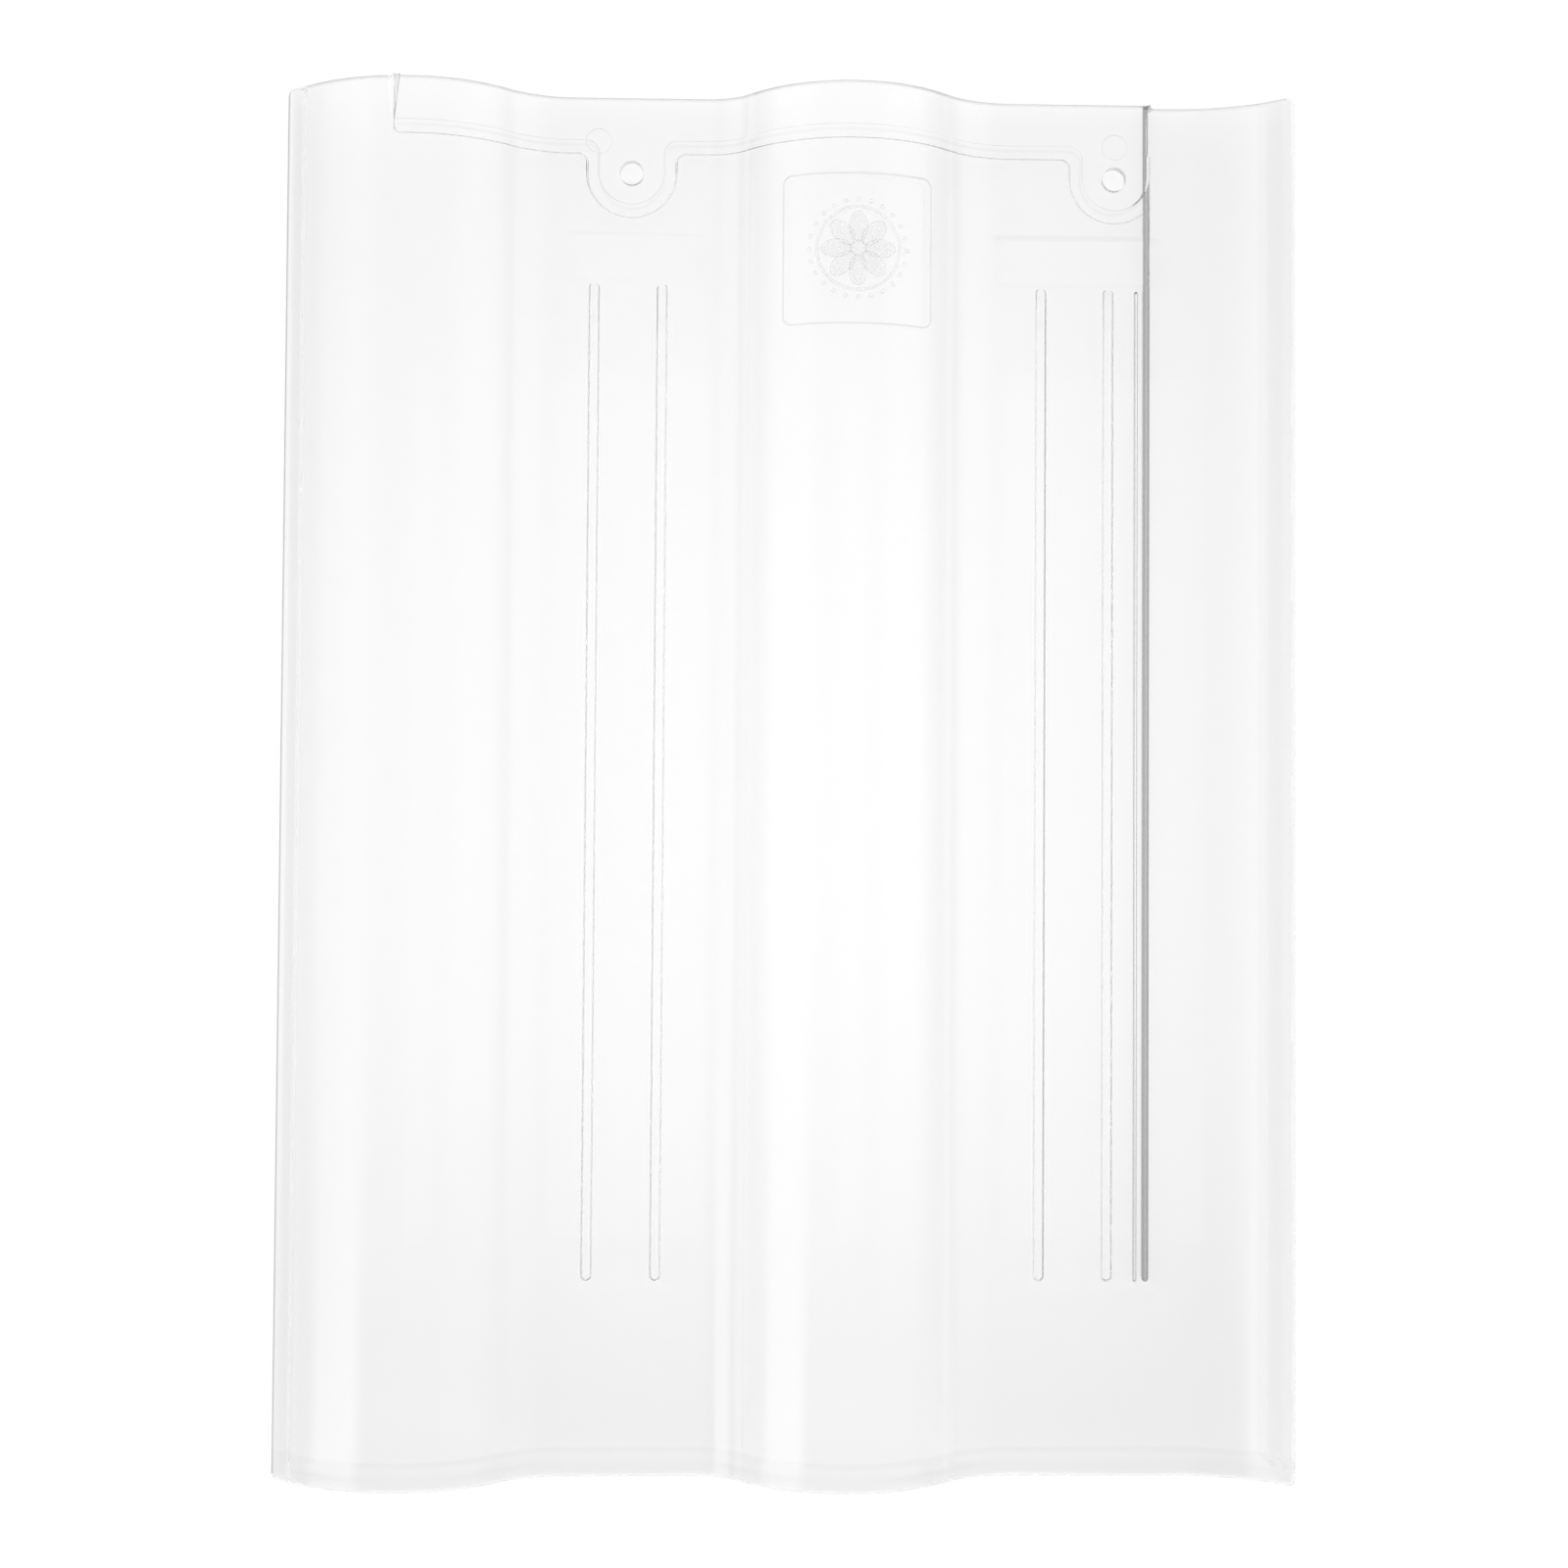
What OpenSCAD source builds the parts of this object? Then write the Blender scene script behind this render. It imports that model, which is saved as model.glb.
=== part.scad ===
// Clear interlocking roof tile, moulded in one piece.
// X runs across the tile, +Y points up the slope to the head, +Z is the weather side.

/* [Tile] */
// Width over both side edges
tile_w = 300; // [292:1:330]
// Length from tail to head
tile_l = 412; // [360:1:480]
// Thickness of the sheet, square to its surface
sheet_t = 3; // [2.4:0.1:4]
// Radius of the four corners in plan
corner_r = 2; // [1:0.5:4]

/* [Side roll] */
// Distance of the side roll's crown from the left edge
side_x = 38; // [30:1:40]
// Height of the side roll over the pans
side_h = 17.4; // [10:0.2:20]
// Radius of the crown towards the left edge
side_outer_r = 53; // [46:1:56]
// Width of the outer flank, from crown to foot, if it were not cut by the edge
side_outer_w = 48; // [46:1:54]
// Radius of the crown towards the pan
side_inner_r = 45; // [30:1:50]
// Width of the inner flank, from crown to foot
side_inner_w = 46.5; // [42:0.5:50]

/* [Middle roll] */
// Distance of the middle roll's crown from the left edge
middle_x = 168.5; // [164:0.5:174]
// Height of the middle roll over the pans
middle_h = 19; // [12:0.2:20]
// Radius of the crown on both sides
middle_r = 43; // [30:1:45]
// Width of the left flank, from crown to foot
middle_left_w = 43; // [40:0.5:46]
// Width of the right flank, from crown to foot
middle_right_w = 48; // [40:0.5:50]

/* [Side strip] */
// Distance of the strip's upward curve from the left edge
rise_x = 265; // [262:0.5:272]
// Radius of the strip's upward curve
rise_r = 56; // [50:1:80]
// Amount that the strip stops short of the head
strip_short = 1.4; // [0.5:0.1:4]

/* [Side rim] */
// Width of the foot under the left edge
foot_w = 6.5; // [4:0.5:8]
// Amount that the left corner stops short of the head
corner_short = 0.5; // [0.2:0.1:3]

/* [Nail band] */
// Distance of the band's left end from the left edge
band_x = 33; // [24:1:44]
// Depth of the sunk band, measured from the head
band_l = 17.3; // [15:0.1:19]
// Amount by which the band is sunk
band_sink = 1.5; // [0.8:0.1:2]
// Width of the band's wall, seen in plan
band_wall = 3.5; // [2:0.5:4]
// Distance of the first nail from the left edge
nail_x = 102.5; // [99:0.5:106]
// Distance between the two nails
nail_gap = 146; // [142:0.5:148]
// Distance of both nails from the head
nail_y = 22.8; // [21:0.1:26]
// Diameter of the nail holes
nail_d = 7; // [4:0.5:9]
// Radius of the round tab about each nail
tab_r = 13.8; // [11:0.2:15]
// Radius where a tab runs into the band
tab_fillet = 2.5; // [1:0.5:3]

/* [Batten pads] */
// Distance of the pads from the head
pad_y = 39.5; // [39:0.5:44]
// Length of the pads along the slope
pad_l = 17.5; // [12:0.5:20]
// Height of the pads under the sheet
pad_h = 1.5; // [1:0.1:2.5]
// Left end of the first pad
pad1_x = 77; // [74:1:82]
// Width of the first pad
pad1_w = 53; // [44:1:56]
// Left end of the second pad
pad2_x = 204; // [200:1:216]
// Radius of the pads' lower corners
pad_r = 6; // [2:0.5:8]

/* [Ribs and fin] */
// Distance of the first rib from the left edge
rib1_x = 91.5; // [88:0.5:96]
// Distance between the two ribs of a pan
rib_gap = 20.4; // [16:0.1:21]
// Distance of the third rib from the left edge
rib3_x = 226.4; // [222:0.1:230]
// Width of a rib
rib_w = 2.8; // [1.6:0.1:3]
// Height of a rib under the sheet
rib_h = 1.2; // [0.6:0.1:2]
// Width of the narrow rib beside the fin
thin_rib_w = 1.2; // [0.8:0.1:1.4]
// Gap between the narrow rib and the fin
thin_rib_gap = 1.6; // [0.4:0.1:2]
// Length of the tail that laps over the next tile and has no ribs
lap = 57; // [40:1:80]
// Distance of the fin's left face from the left edge
fin_x = 257.4; // [255:0.1:259]
// Width of the fin where it joins the sheet
fin_root_w = 2; // [1.8:0.1:3.4]
// Width of the fin at its lower edge
fin_tip_w = 1.6; // [1.2:0.1:1.8]
// Height of the fin under the sheet
fin_h = 4; // [3:0.1:8]

/* [Tail lip] */
// Length of the lip along the tail
lip_l = 8.5; // [5:0.5:14]
// Height of the lip under the sheet
lip_h = 1; // [0.4:0.1:2]

/* [Panel] */
// Distance of the sunk panel's middle from the left edge
panel_x = 169.8; // [166:0.1:174]
// Width of the panel
panel_w = 44.5; // [30:0.5:46]
// Length of the panel
panel_l = 45; // [30:1:60]
// Distance of the panel from the head
panel_y = 27.8; // [25:0.1:40]
// Depth of the panel
panel_sink = 0.4; // [0.2:0.1:0.8]
// Radius of the panel's corners
panel_r = 3; // [1:0.5:6]

/* [Hidden] */
$fn = 96;

// Overlap that ties an added form into the sheet
bite = 0.6;
// Reach of cutting tools past the surface that they cut
past = 2;
// Depth under the pans' surface where cross sections end
under = 30;
// Depth under the weather side that added forms may fill
fill = 12;
// Overlap that keeps arcs joined where they meet in a common tangent
touch = 0.001;
// Height of the sheet's pans over the floor
stand = sheet_t + fin_h;
nails = [nail_x, nail_x + nail_gap];
ribs = [rib1_x, rib1_x + rib_gap, rib3_x, rib3_x + rib_gap];
fin_end_x = fin_x + fin_root_w;
rib_top = tile_l - pad_y - pad_l + bite;

// Angle of a flank at the point where its crown arc meets its foot arc
function flank_angle(w, h) = 2 * atan(h / w);

// Radius of the foot arc that joins a crown arc to the pan
function foot_radius(w, h, crown_r) = w / sin(flank_angle(w, h)) - crown_r;

// Everything below the right half of a roll, down to depth d under the roll's surface
module below_half_roll(w, h, crown_r, d) {
    foot_r = foot_radius(w, h, crown_r);
    intersection() {
        translate([0, h - crown_r])
            circle(crown_r - d + touch);
        translate([0, -under])
            square([w, under + h]);
    }
    difference() {
        polygon([[0, -under], [0, h - crown_r], [w, foot_r], [w, -under]]);
        translate([w, foot_r])
            circle(foot_r + d + touch);
    }
}

// Everything below the surface that lies at depth d under the weather side
module below(d) {
    translate([0, -under])
        square([tile_w, under - d]);
    translate([side_x, 0]) {
        mirror([1, 0])
            below_half_roll(side_outer_w, side_h, side_outer_r, d);
        below_half_roll(side_inner_w, side_h, side_inner_r, d);
    }
    translate([middle_x, 0]) {
        mirror([1, 0])
            below_half_roll(middle_left_w, middle_h, middle_r, d);
        below_half_roll(middle_right_w, middle_h, middle_r, d);
    }
    difference() {
        translate([rise_x, -under])
            square([tile_w - rise_x, under + rise_r]);
        translate([rise_x, rise_r])
            circle(rise_r + d + touch);
    }
}

// Cross section of the sheet from depth d0 to depth d1 under its weather side
module section(d0, d1) {
    intersection() {
        translate([0, -under])
            square([tile_w, under + 2 * middle_h]);
        difference() {
            below(d0);
            below(d1);
        }
    }
}

// Sheet layer between two depths, from y0 to y1 along the tile
module layer(d0, d1, y0, y1) {
    translate([0, y1, 0])
        rotate([90, 0, 0])
            linear_extrude(y1 - y0)
                section(d0, d1);
}

// Rectangle with round corners of radius r
module round_rect(w, l, r) {
    translate([r, 0])
        square([w - 2 * r, l]);
    translate([0, r])
        square([w, l - 2 * r]);
    for (x = [r, w - r], y = [r, l - r])
        translate([x, y])
            circle(r);
}

// Outline of the whole tile in plan, with the parts that stop short of the head
module plan() {
    round_rect(fin_x, tile_l - corner_short, corner_r);
    translate([fin_x - 4 * corner_r, 0])
        round_rect(tile_w - fin_x + 4 * corner_r, tile_l - strip_short, corner_r);
    translate([band_x, tile_l / 2])
        square([fin_end_x - band_x - corner_r / 2, tile_l / 2]);
}

// Sunk nail band with its two round tabs, drawn back from its outer line by inset
module band(inset) {
    edge_y = tile_l - band_l + inset;
    r = tab_r - inset;
    fillet = tab_fillet + inset;
    translate([band_x, edge_y])
        square([fin_end_x - band_x, band_l + past]);
    for (x = nails) {
        translate([x, tile_l - nail_y])
            circle(r);
        translate([x - r, tile_l - nail_y])
            square([2 * r, nail_y]);
        for (side = [-1, 1])
            translate([x + side * r, edge_y])
                mirror([side < 0 ? 1 : 0, 0])
                    difference() {
                        translate([-bite, -fillet])
                            square([fillet + bite, fillet + bite]);
                        translate([fillet, -fillet])
                            circle(fillet);
                    }
    }
}

// Tool as high as the tile that cuts or keeps what a plan outline covers
module through() {
    translate([0, 0, -stand - past])
        linear_extrude(stand + 2 * middle_h)
            children();
}

// Rib under a pan, closed by round ends
module rib(x, w, y0, y1) {
    translate([x, 0, -sheet_t - rib_h])
        linear_extrude(rib_h + bite) {
            translate([-w / 2, y0 + w / 2])
                square([w, y1 - y0 - w]);
            for (y = [y0 + w / 2, y1 - w / 2])
                translate([0, y])
                    circle(w / 2);
        }
}

// Pad that lies against the batten under a pan
module pad(x, w) {
    y = tile_l - pad_y - pad_l;
    intersection() {
        layer(sheet_t - bite, fill, y, y + pad_l);
        translate([x, y, -sheet_t - pad_h])
            linear_extrude(middle_h)
                round_rect(w, pad_l, pad_r);
    }
}

// Tall tapered fin between the pan and the side strip
module fin() {
    taper = (fin_root_w - fin_tip_w) / 2;
    translate([fin_x, tile_l - strip_short, -sheet_t])
        rotate([90, 0, 0])
            linear_extrude(tile_l - strip_short - lap)
                polygon([
                    [0, bite],
                    [fin_root_w, bite],
                    [fin_root_w, 0],
                    [fin_root_w - taper, -fin_h],
                    [taper, -fin_h],
                    [0, 0]
                ]);
}

// Solid foot under the left edge, level with the pans
module foot() {
    intersection() {
        layer(sheet_t - bite, fill, 0, tile_l - corner_short);
        cube([foot_w, tile_l, middle_h]);
    }
}

module roof_tile() {
    color([0.93, 0.95, 0.96, 0.45])
        translate([-tile_w / 2, -tile_l / 2, stand])
            difference() {
                intersection() {
                    union() {
                        layer(0, sheet_t, 0, tile_l);
                        layer(sheet_t - bite, sheet_t + lip_h, 0, lip_l);
                        intersection() {
                            layer(sheet_t - bite, sheet_t + band_sink, tile_l / 2, tile_l);
                            through()
                                band(0);
                        }
                        for (x = ribs)
                            rib(x, rib_w, lap, rib_top);
                        rib(fin_x - thin_rib_gap - thin_rib_w / 2, thin_rib_w, lap, rib_top);
                        pad(pad1_x, pad1_w);
                        pad(pad2_x, fin_x + bite - pad2_x);
                        fin();
                        foot();
                    }
                    through()
                        plan();
                }
                intersection() {
                    layer(-past, band_sink, tile_l / 2, tile_l + past);
                    through()
                        band(band_wall);
                }
                intersection() {
                    layer(-past, panel_sink, tile_l / 2, tile_l);
                    through()
                        translate([panel_x - panel_w / 2, tile_l - panel_y - panel_l])
                            round_rect(panel_w, panel_l, panel_r);
                }
                for (x = nails)
                    translate([x, tile_l - nail_y, -stand])
                        cylinder(h = stand + past, d = nail_d);
                translate([-past, -past, -stand])
                    cube([foot_w + past, tile_l + 2 * past, stand]);
            }
}

roof_tile();
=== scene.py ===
"""Looks of a clear moulded roof tile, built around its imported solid.

The tile is one moulding. Its weather side and its underside are laid out flat in plan, with every
step, rib and pad as a depth under the sheet's surface. Geometry Nodes then raise the plan over the
rolls, so the sheet keeps its thickness and all that stands on it follows the wave.
"""

import logging
import math
from collections.abc import Callable
from dataclasses import asdict, dataclass, field, replace
from enum import Enum

import bpy
import numpy as np
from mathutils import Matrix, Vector
from mathutils.geometry import delaunay_2d_cdt


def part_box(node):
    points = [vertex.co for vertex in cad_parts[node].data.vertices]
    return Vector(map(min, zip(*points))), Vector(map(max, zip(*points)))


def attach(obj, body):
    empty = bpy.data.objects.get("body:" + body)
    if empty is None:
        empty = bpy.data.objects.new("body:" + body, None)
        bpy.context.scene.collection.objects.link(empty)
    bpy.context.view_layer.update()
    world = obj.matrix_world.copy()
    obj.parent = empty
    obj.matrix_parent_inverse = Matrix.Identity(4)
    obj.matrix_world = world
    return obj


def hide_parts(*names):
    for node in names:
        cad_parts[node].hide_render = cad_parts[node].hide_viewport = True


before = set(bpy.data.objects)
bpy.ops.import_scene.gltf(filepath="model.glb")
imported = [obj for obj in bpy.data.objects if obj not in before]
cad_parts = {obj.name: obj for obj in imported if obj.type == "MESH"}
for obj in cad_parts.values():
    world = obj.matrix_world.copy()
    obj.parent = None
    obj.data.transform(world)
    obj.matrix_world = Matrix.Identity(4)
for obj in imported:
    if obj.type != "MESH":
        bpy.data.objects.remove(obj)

MM = 0.001
NODE = "roof_tile"
BODY = "root"

log = logging.getLogger("roof_tile")

HAIR = 1e-3  # width of a line that stands for a cut, in millimetres
NEAR = 1e-4  # points in plan that are closer than this are one
TINY = 1e-9  # keeps a division from 0
CHUNK = 2000  # points that are measured at a time
SHARES = (0.0, 0.2, 0.4, 0.6, 0.8, 1.0)  # parts of a slope at which the mesh follows it
WHITE = (1.0, 1.0, 1.0, 1.0)

Points = np.ndarray
Number = float | int
Place = tuple[float, float]
Range = tuple[float, float]


# ---------------------------------------------------------------- node expressions


class Value:
    """A node socket that takes part in Python expressions."""

    def __init__(self, graph: "Graph", socket: bpy.types.NodeSocket) -> None:
        """Wraps one output socket of a graph."""
        self.graph = graph
        self.socket = socket

    def _math(self, operation: str, *terms: "Value | Number") -> "Value":
        """Adds one Math node over the given terms."""
        return self.graph.node("ShaderNodeMath", {"operation": operation}, dict(enumerate(terms)))

    def __add__(self, other: "Value | Number") -> "Value":
        """Sum."""
        return self._math("ADD", self, other)

    __radd__ = __add__

    def __sub__(self, other: "Value | Number") -> "Value":
        """Difference."""
        return self._math("SUBTRACT", self, other)

    def __rsub__(self, other: "Value | Number") -> "Value":
        """Difference from the left."""
        return self._math("SUBTRACT", other, self)

    def __mul__(self, other: "Value | Number") -> "Value":
        """Product."""
        return self._math("MULTIPLY", self, other)

    __rmul__ = __mul__

    def __truediv__(self, other: "Value | Number") -> "Value":
        """Quotient."""
        return self._math("DIVIDE", self, other)

    def __neg__(self) -> "Value":
        """Opposite."""
        return self._math("MULTIPLY", self, -1.0)

    def below(self, limit: "Value | Number") -> "Value":
        """1 where the value lies below the limit, otherwise 0."""
        return self._math("LESS_THAN", self, limit)

    def sqrt(self) -> "Value":
        """Square root, 0 for negative values."""
        return self._math("SQRT", self)

    def sin(self) -> "Value":
        """Sine of an angle in radians."""
        return self._math("SINE", self)

    def atan(self) -> "Value":
        """Arc tangent in radians."""
        return self._math("ARCTANGENT", self)

    def clamp(self) -> "Value":
        """The value kept between 0 and 1."""
        return self.graph.node("ShaderNodeClamp", {}, {"Value": self})

    def ramp(self, low: Number, high: Number) -> "Value":
        """Smooth step from 0 at low to 1 at high.

        Args:
            low: Value up to which it stays 0.
            high: Value from which it stays 1.

        Returns:
            The step as a value.
        """
        return self.graph.node(
            "ShaderNodeMapRange",
            {"interpolation_type": "SMOOTHSTEP"},
            {"Value": self, "From Min": low, "From Max": high},
        )


class Graph:
    """A node tree under construction."""

    def __init__(self, tree: bpy.types.NodeTree) -> None:
        """Starts on an empty tree."""
        self.tree = tree
        self.tree.nodes.clear()

    def node(self, kind: str, settings: dict, values: dict, output: int | str = 0) -> Value:
        """Adds one node.

        Args:
            kind: The node's type.
            settings: Its properties, which are set first.
            values: What its input sockets hold, by name or place.
            output: The output socket that is returned.

        Returns:
            The chosen output as a value.
        """
        made = self.tree.nodes.new(kind)
        for name, setting in settings.items():
            setattr(made, name, setting)
        for key, value in values.items():
            if isinstance(value, Value):
                self.tree.links.new(value.socket, made.inputs[key])
            elif isinstance(value, list):
                for part in reversed(value):
                    self.tree.links.new(part.socket, made.inputs[key])
            else:
                made.inputs[key].default_value = value
        return Value(self, made.outputs[output])

    def end(self, kind: str, result: Value) -> None:
        """Adds the tree's last node and links the result to it."""
        made = self.tree.nodes.new(kind)
        self.tree.links.new(result.socket, made.inputs[0])

    def split(self, vector: Value) -> tuple[Value, Value, Value]:
        """The three components of a vector.

        Args:
            vector: The vector.

        Returns:
            Its first, second and third component.
        """
        first = self.node("ShaderNodeSeparateXYZ", {}, {0: vector})
        outputs = first.socket.node.outputs
        return first, Value(self, outputs[1]), Value(self, outputs[2])

    def join(self, x: Value | Number, y: Value | Number, z: Value | Number) -> Value:
        """A vector from three components."""
        return self.node("ShaderNodeCombineXYZ", {}, {0: x, 1: y, 2: z})

    def mix(self, kind: str, factor: Value | Number, a: object, b: object) -> Value:
        """A blend of two colours or vectors.

        Args:
            kind: RGBA or VECTOR.
            factor: 0 gives a and 1 gives b.
            a: First colour or vector.
            b: Second colour or vector.

        Returns:
            The blend.
        """
        first, second, out = {"RGBA": (6, 7, 2), "VECTOR": (4, 5, 1)}[kind]
        return self.node("ShaderNodeMix", {"data_type": kind}, {0: factor, first: a, second: b}, out)

    def length(self, vector: Value) -> Value:
        """Length of a vector."""
        return self.node("ShaderNodeVectorMath", {"operation": "LENGTH"}, {0: vector}, "Value")

    def size(self, value: Value) -> Value:
        """A value without its sign."""
        return self.node("ShaderNodeMath", {"operation": "ABSOLUTE"}, {0: value})

    def noise(self, place: Value, scale: float, detail: float = 0.0) -> Value:
        """Soft noise at a place, with the given number of spots per metre."""
        return self.node("ShaderNodeTexNoise", {}, {"Vector": place, "Scale": scale, "Detail": detail})

    def stored(self, name: str, kind: str = "FLOAT") -> Value:
        """A named attribute of the mesh, in Geometry Nodes."""
        return self.node("GeometryNodeInputNamedAttribute", {"data_type": kind}, {"Name": name})

    def rays(self, *names: str) -> list[Value]:
        """1 for each of the named kinds of ray, and 0 for others."""
        outputs = self.node("ShaderNodeLightPath", {}, {}).socket.node.outputs
        return [Value(self, outputs[name]) for name in names]


# ---------------------------------------------------------------- plan outlines


def arc(x: float, y: float, r: float, start: float, end: float, step: float = 5.0) -> list[Place]:
    """Points along a circular arc.

    Args:
        x: Centre across the tile.
        y: Centre along the tile.
        r: Radius.
        start: First angle in degrees.
        end: Last angle in degrees.
        step: Largest angle between two points.

    Returns:
        The points from start to end.
    """
    count = max(1, math.ceil(abs(end - start) / step))
    angles = [math.radians(start + (end - start) * i / count) for i in range(count + 1)]
    return [(x + r * math.cos(a), y + r * math.sin(a)) for a in angles]


def closed(points: list[Place]) -> Points:
    """An outline as an array, without points that repeat the one before them."""
    outline = np.array(points)
    return outline[np.hypot(*(outline - np.roll(outline, 1, 0)).T) > NEAR]


def rect(x0: float, y0: float, x1: float, y1: float) -> Points:
    """Anticlockwise corners of a rectangle."""
    return np.array([(x0, y0), (x1, y0), (x1, y1), (x0, y1)])


def round_rect(x0: float, y0: float, x1: float, y1: float, r: float) -> Points:
    """Anticlockwise outline of a rectangle with round corners.

    Args:
        x0: Left side.
        y0: Side at the tail.
        x1: Right side.
        y1: Side at the head.
        r: Radius of the corners.

    Returns:
        The outline.
    """
    return closed(
        arc(x1 - r, y0 + r, r, -90, 0)
        + arc(x1 - r, y1 - r, r, 0, 90)
        + arc(x0 + r, y1 - r, r, 90, 180)
        + arc(x0 + r, y0 + r, r, 180, 270)
    )


def ring(x: float, y: float, r: float) -> Points:
    """Anticlockwise outline of a circle."""
    return np.array(arc(x, y, r, 0, 360, 6.0)[:-1])


def inset(outline: Points, distance: float) -> Points:
    """The outline drawn back inwards by a distance, or outwards by a negative one.

    Args:
        outline: Anticlockwise outline.
        distance: The distance.

    Returns:
        The new outline, with as many points.
    """
    ahead = np.roll(outline, -1, 0) - outline
    ahead /= np.hypot(*ahead.T)[:, None]
    behind = np.roll(ahead, 1, 0)
    normal = np.stack([-(ahead + behind)[:, 1], (ahead + behind)[:, 0]], 1)
    normal /= np.hypot(*normal.T)[:, None]
    stretch = 1 / np.clip((normal * np.stack([-ahead[:, 1], ahead[:, 0]], 1)).sum(1), 0.5, 1)
    return outline + normal * (distance * stretch)[:, None]


def depth_inside(outline: Points, points: Points) -> np.ndarray:
    """Distance of points from an outline, positive inside it.

    Args:
        outline: The outline.
        points: Places in plan.

    Returns:
        The distance for each place.
    """
    a = outline
    b = np.roll(outline, -1, 0)
    result = np.empty(len(points))
    for first in range(0, len(points), CHUNK):
        p = points[first : first + CHUNK, None, :]
        along = b - a
        t = np.clip(((p - a) * along).sum(2) / (along**2).sum(1), 0, 1)
        distance = np.hypot(*np.moveaxis(p - (a + t[..., None] * along), 2, 0)).min(1)
        straddles = (a[:, 1] > p[..., 1]) != (b[:, 1] > p[..., 1])
        rise = np.where(along[:, 1] == 0, TINY, along[:, 1])
        crossing = a[:, 0] + (p[..., 1] - a[:, 1]) / rise * along[:, 0]
        inside = (straddles & (p[..., 0] < crossing)).sum(1) % 2 == 1
        result[first : first + CHUNK] = np.where(inside, distance, -distance)
    return result


def smooth(t: np.ndarray) -> np.ndarray:
    """Smooth step from 0 to 1."""
    t = np.clip(t, 0, 1)
    return t * t * (3 - 2 * t)


def hump(share: np.ndarray) -> np.ndarray:
    """0 at both ends of a slope and 1 in its middle."""
    return 4 * share * (1 - share)


# ---------------------------------------------------------------- changes of level


@dataclass(frozen=True)
class Step:
    """A change of level inside an outline.

    Attributes:
        outline: Anticlockwise outline in plan, in millimetres.
        amount: Change of depth inside it.
        blend: Width of the slope inside the outline over which the level changes.
        shade: Painted shade on the slope, from 0 to 1.
        fill: Painted shade over all that lies inside the outline, from 0 to 1.
        facing: Share of the painted shade that every slope takes, and what it takes more where the level
            changes to the right and where it changes along the tile, so that slopes are darker by the way
            they face.
    """

    outline: Points
    amount: float
    blend: float
    shade: float = 0.0
    fill: float = 0.0
    facing: tuple[float, float, float] = (0.85, 0.15, 0.5)

    def share(self, points: Points) -> np.ndarray:
        """Share of the slope that has been passed, from 0 to 1.

        Args:
            points: Places in plan.

        Returns:
            A share for each place.
        """
        near = ((points > self.outline.min(0)) & (points < self.outline.max(0))).all(1)
        result = np.zeros(len(points))
        result[near] = np.clip(depth_inside(self.outline, points[near]) / self.blend, 0, 1)
        return result

    def level(self, points: Points) -> np.ndarray:
        """Change of depth at points in plan."""
        return self.amount * smooth(self.share(points))

    def darkness(self, points: Points) -> np.ndarray:
        """Painted shade on the slope and over what it encloses.

        Args:
            points: Places in plan.

        Returns:
            A darkness for each place, from 0 to 1.
        """
        share = self.share(points)
        nudge, inside = 0.01, 0.02
        shifts = np.array([nudge, 0.0]), np.array([0.0, nudge])
        across, along = (self.share(points + shift) - self.share(points - shift) for shift in shifts)
        steepest = np.maximum(np.hypot(across, along), TINY)
        every, right, lengthwise = self.facing
        # painted shade: slopes are darker by the way that they face
        facing = every + right * across / steepest + lengthwise * np.abs(along) / steepest
        return np.maximum(self.shade * hump(share) * facing, self.fill * (share > inside))

    def guides(self) -> list[Points]:
        """Outlines at which the mesh follows the slope."""
        return [inset(self.outline, self.blend * share) for share in SHARES]


@dataclass(frozen=True)
class FadingRib(Step):
    """A rib whose head end sinks into the sheet.

    Attributes:
        right_shade: Painted shade on the slope that faces right.
        fade: Length over which it sinks.
        on_line: What its outline counts when the faces on the rib are chosen. Two such corners and
            one off the rib stay below a half.
    """

    right_shade: float = 0.0
    fade: float = 2.2
    on_line: float = 0.74

    def fading(self, points: Points) -> np.ndarray:
        """Share of the rib that is left at points in plan."""
        return smooth((self.outline[:, 1].max() - points[:, 1]) / self.fade)

    def level(self, points: Points) -> np.ndarray:
        """Change of depth at points in plan."""
        return super().level(points) * self.fading(points)

    def darkness(self, points: Points) -> np.ndarray:
        """Painted shade on the rib's slopes, which differs from left to right.

        Args:
            points: Places in plan.

        Returns:
            A darkness for each place, from 0 to 1.
        """
        share = self.share(points)
        middle = (self.outline[:, 0].max() + self.outline[:, 0].min()) / 2
        side = np.where(points[:, 0] < middle, self.shade, self.right_shade)
        return side * hump(share) * self.fading(points)

    def chosen(self, points: Points) -> np.ndarray:
        """Chooses the faces that take the ribs' own finish.

        Args:
            points: Places in plan.

        Returns:
            1 on the rib, less on its outline and 0 off it.
        """
        outwards, inside = 0.01, 0.05
        wide = replace(self, outline=inset(self.outline, -outwards))
        return np.where(self.share(points) > inside, 1.0, self.on_line * (wide.share(points) > 0))


@dataclass(frozen=True)
class SoftPad(Step):
    """A low pad in a rectangle, whose ends fade out.

    Attributes:
        fade: Length of the slope at each end.
    """

    fade: float = 12.0

    def level(self, points: Points) -> np.ndarray:
        """Change of depth at points in plan.

        Args:
            points: Places in plan.

        Returns:
            The change for each place.
        """
        low, high = self.outline.min(0), self.outline.max(0)
        back = np.minimum(points - low, high - points) / (self.fade, self.blend)
        return self.amount * smooth(back[:, 0]) * smooth(back[:, 1])

    def darkness(self, points: Points) -> np.ndarray:
        """Painted shade on the pad's slopes."""
        return self.shade * hump(self.level(points) / self.amount)

    def guides(self) -> list[Points]:
        """Guides along the pad's slope.

        Returns:
            Rectangles at which the mesh follows the slope.
        """
        low, high = self.outline.min(0), self.outline.max(0)
        slope = np.array([self.fade, self.blend])
        return [rect(*(low + slope * share), *(high - slope * share)) for share in SHARES]


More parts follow.
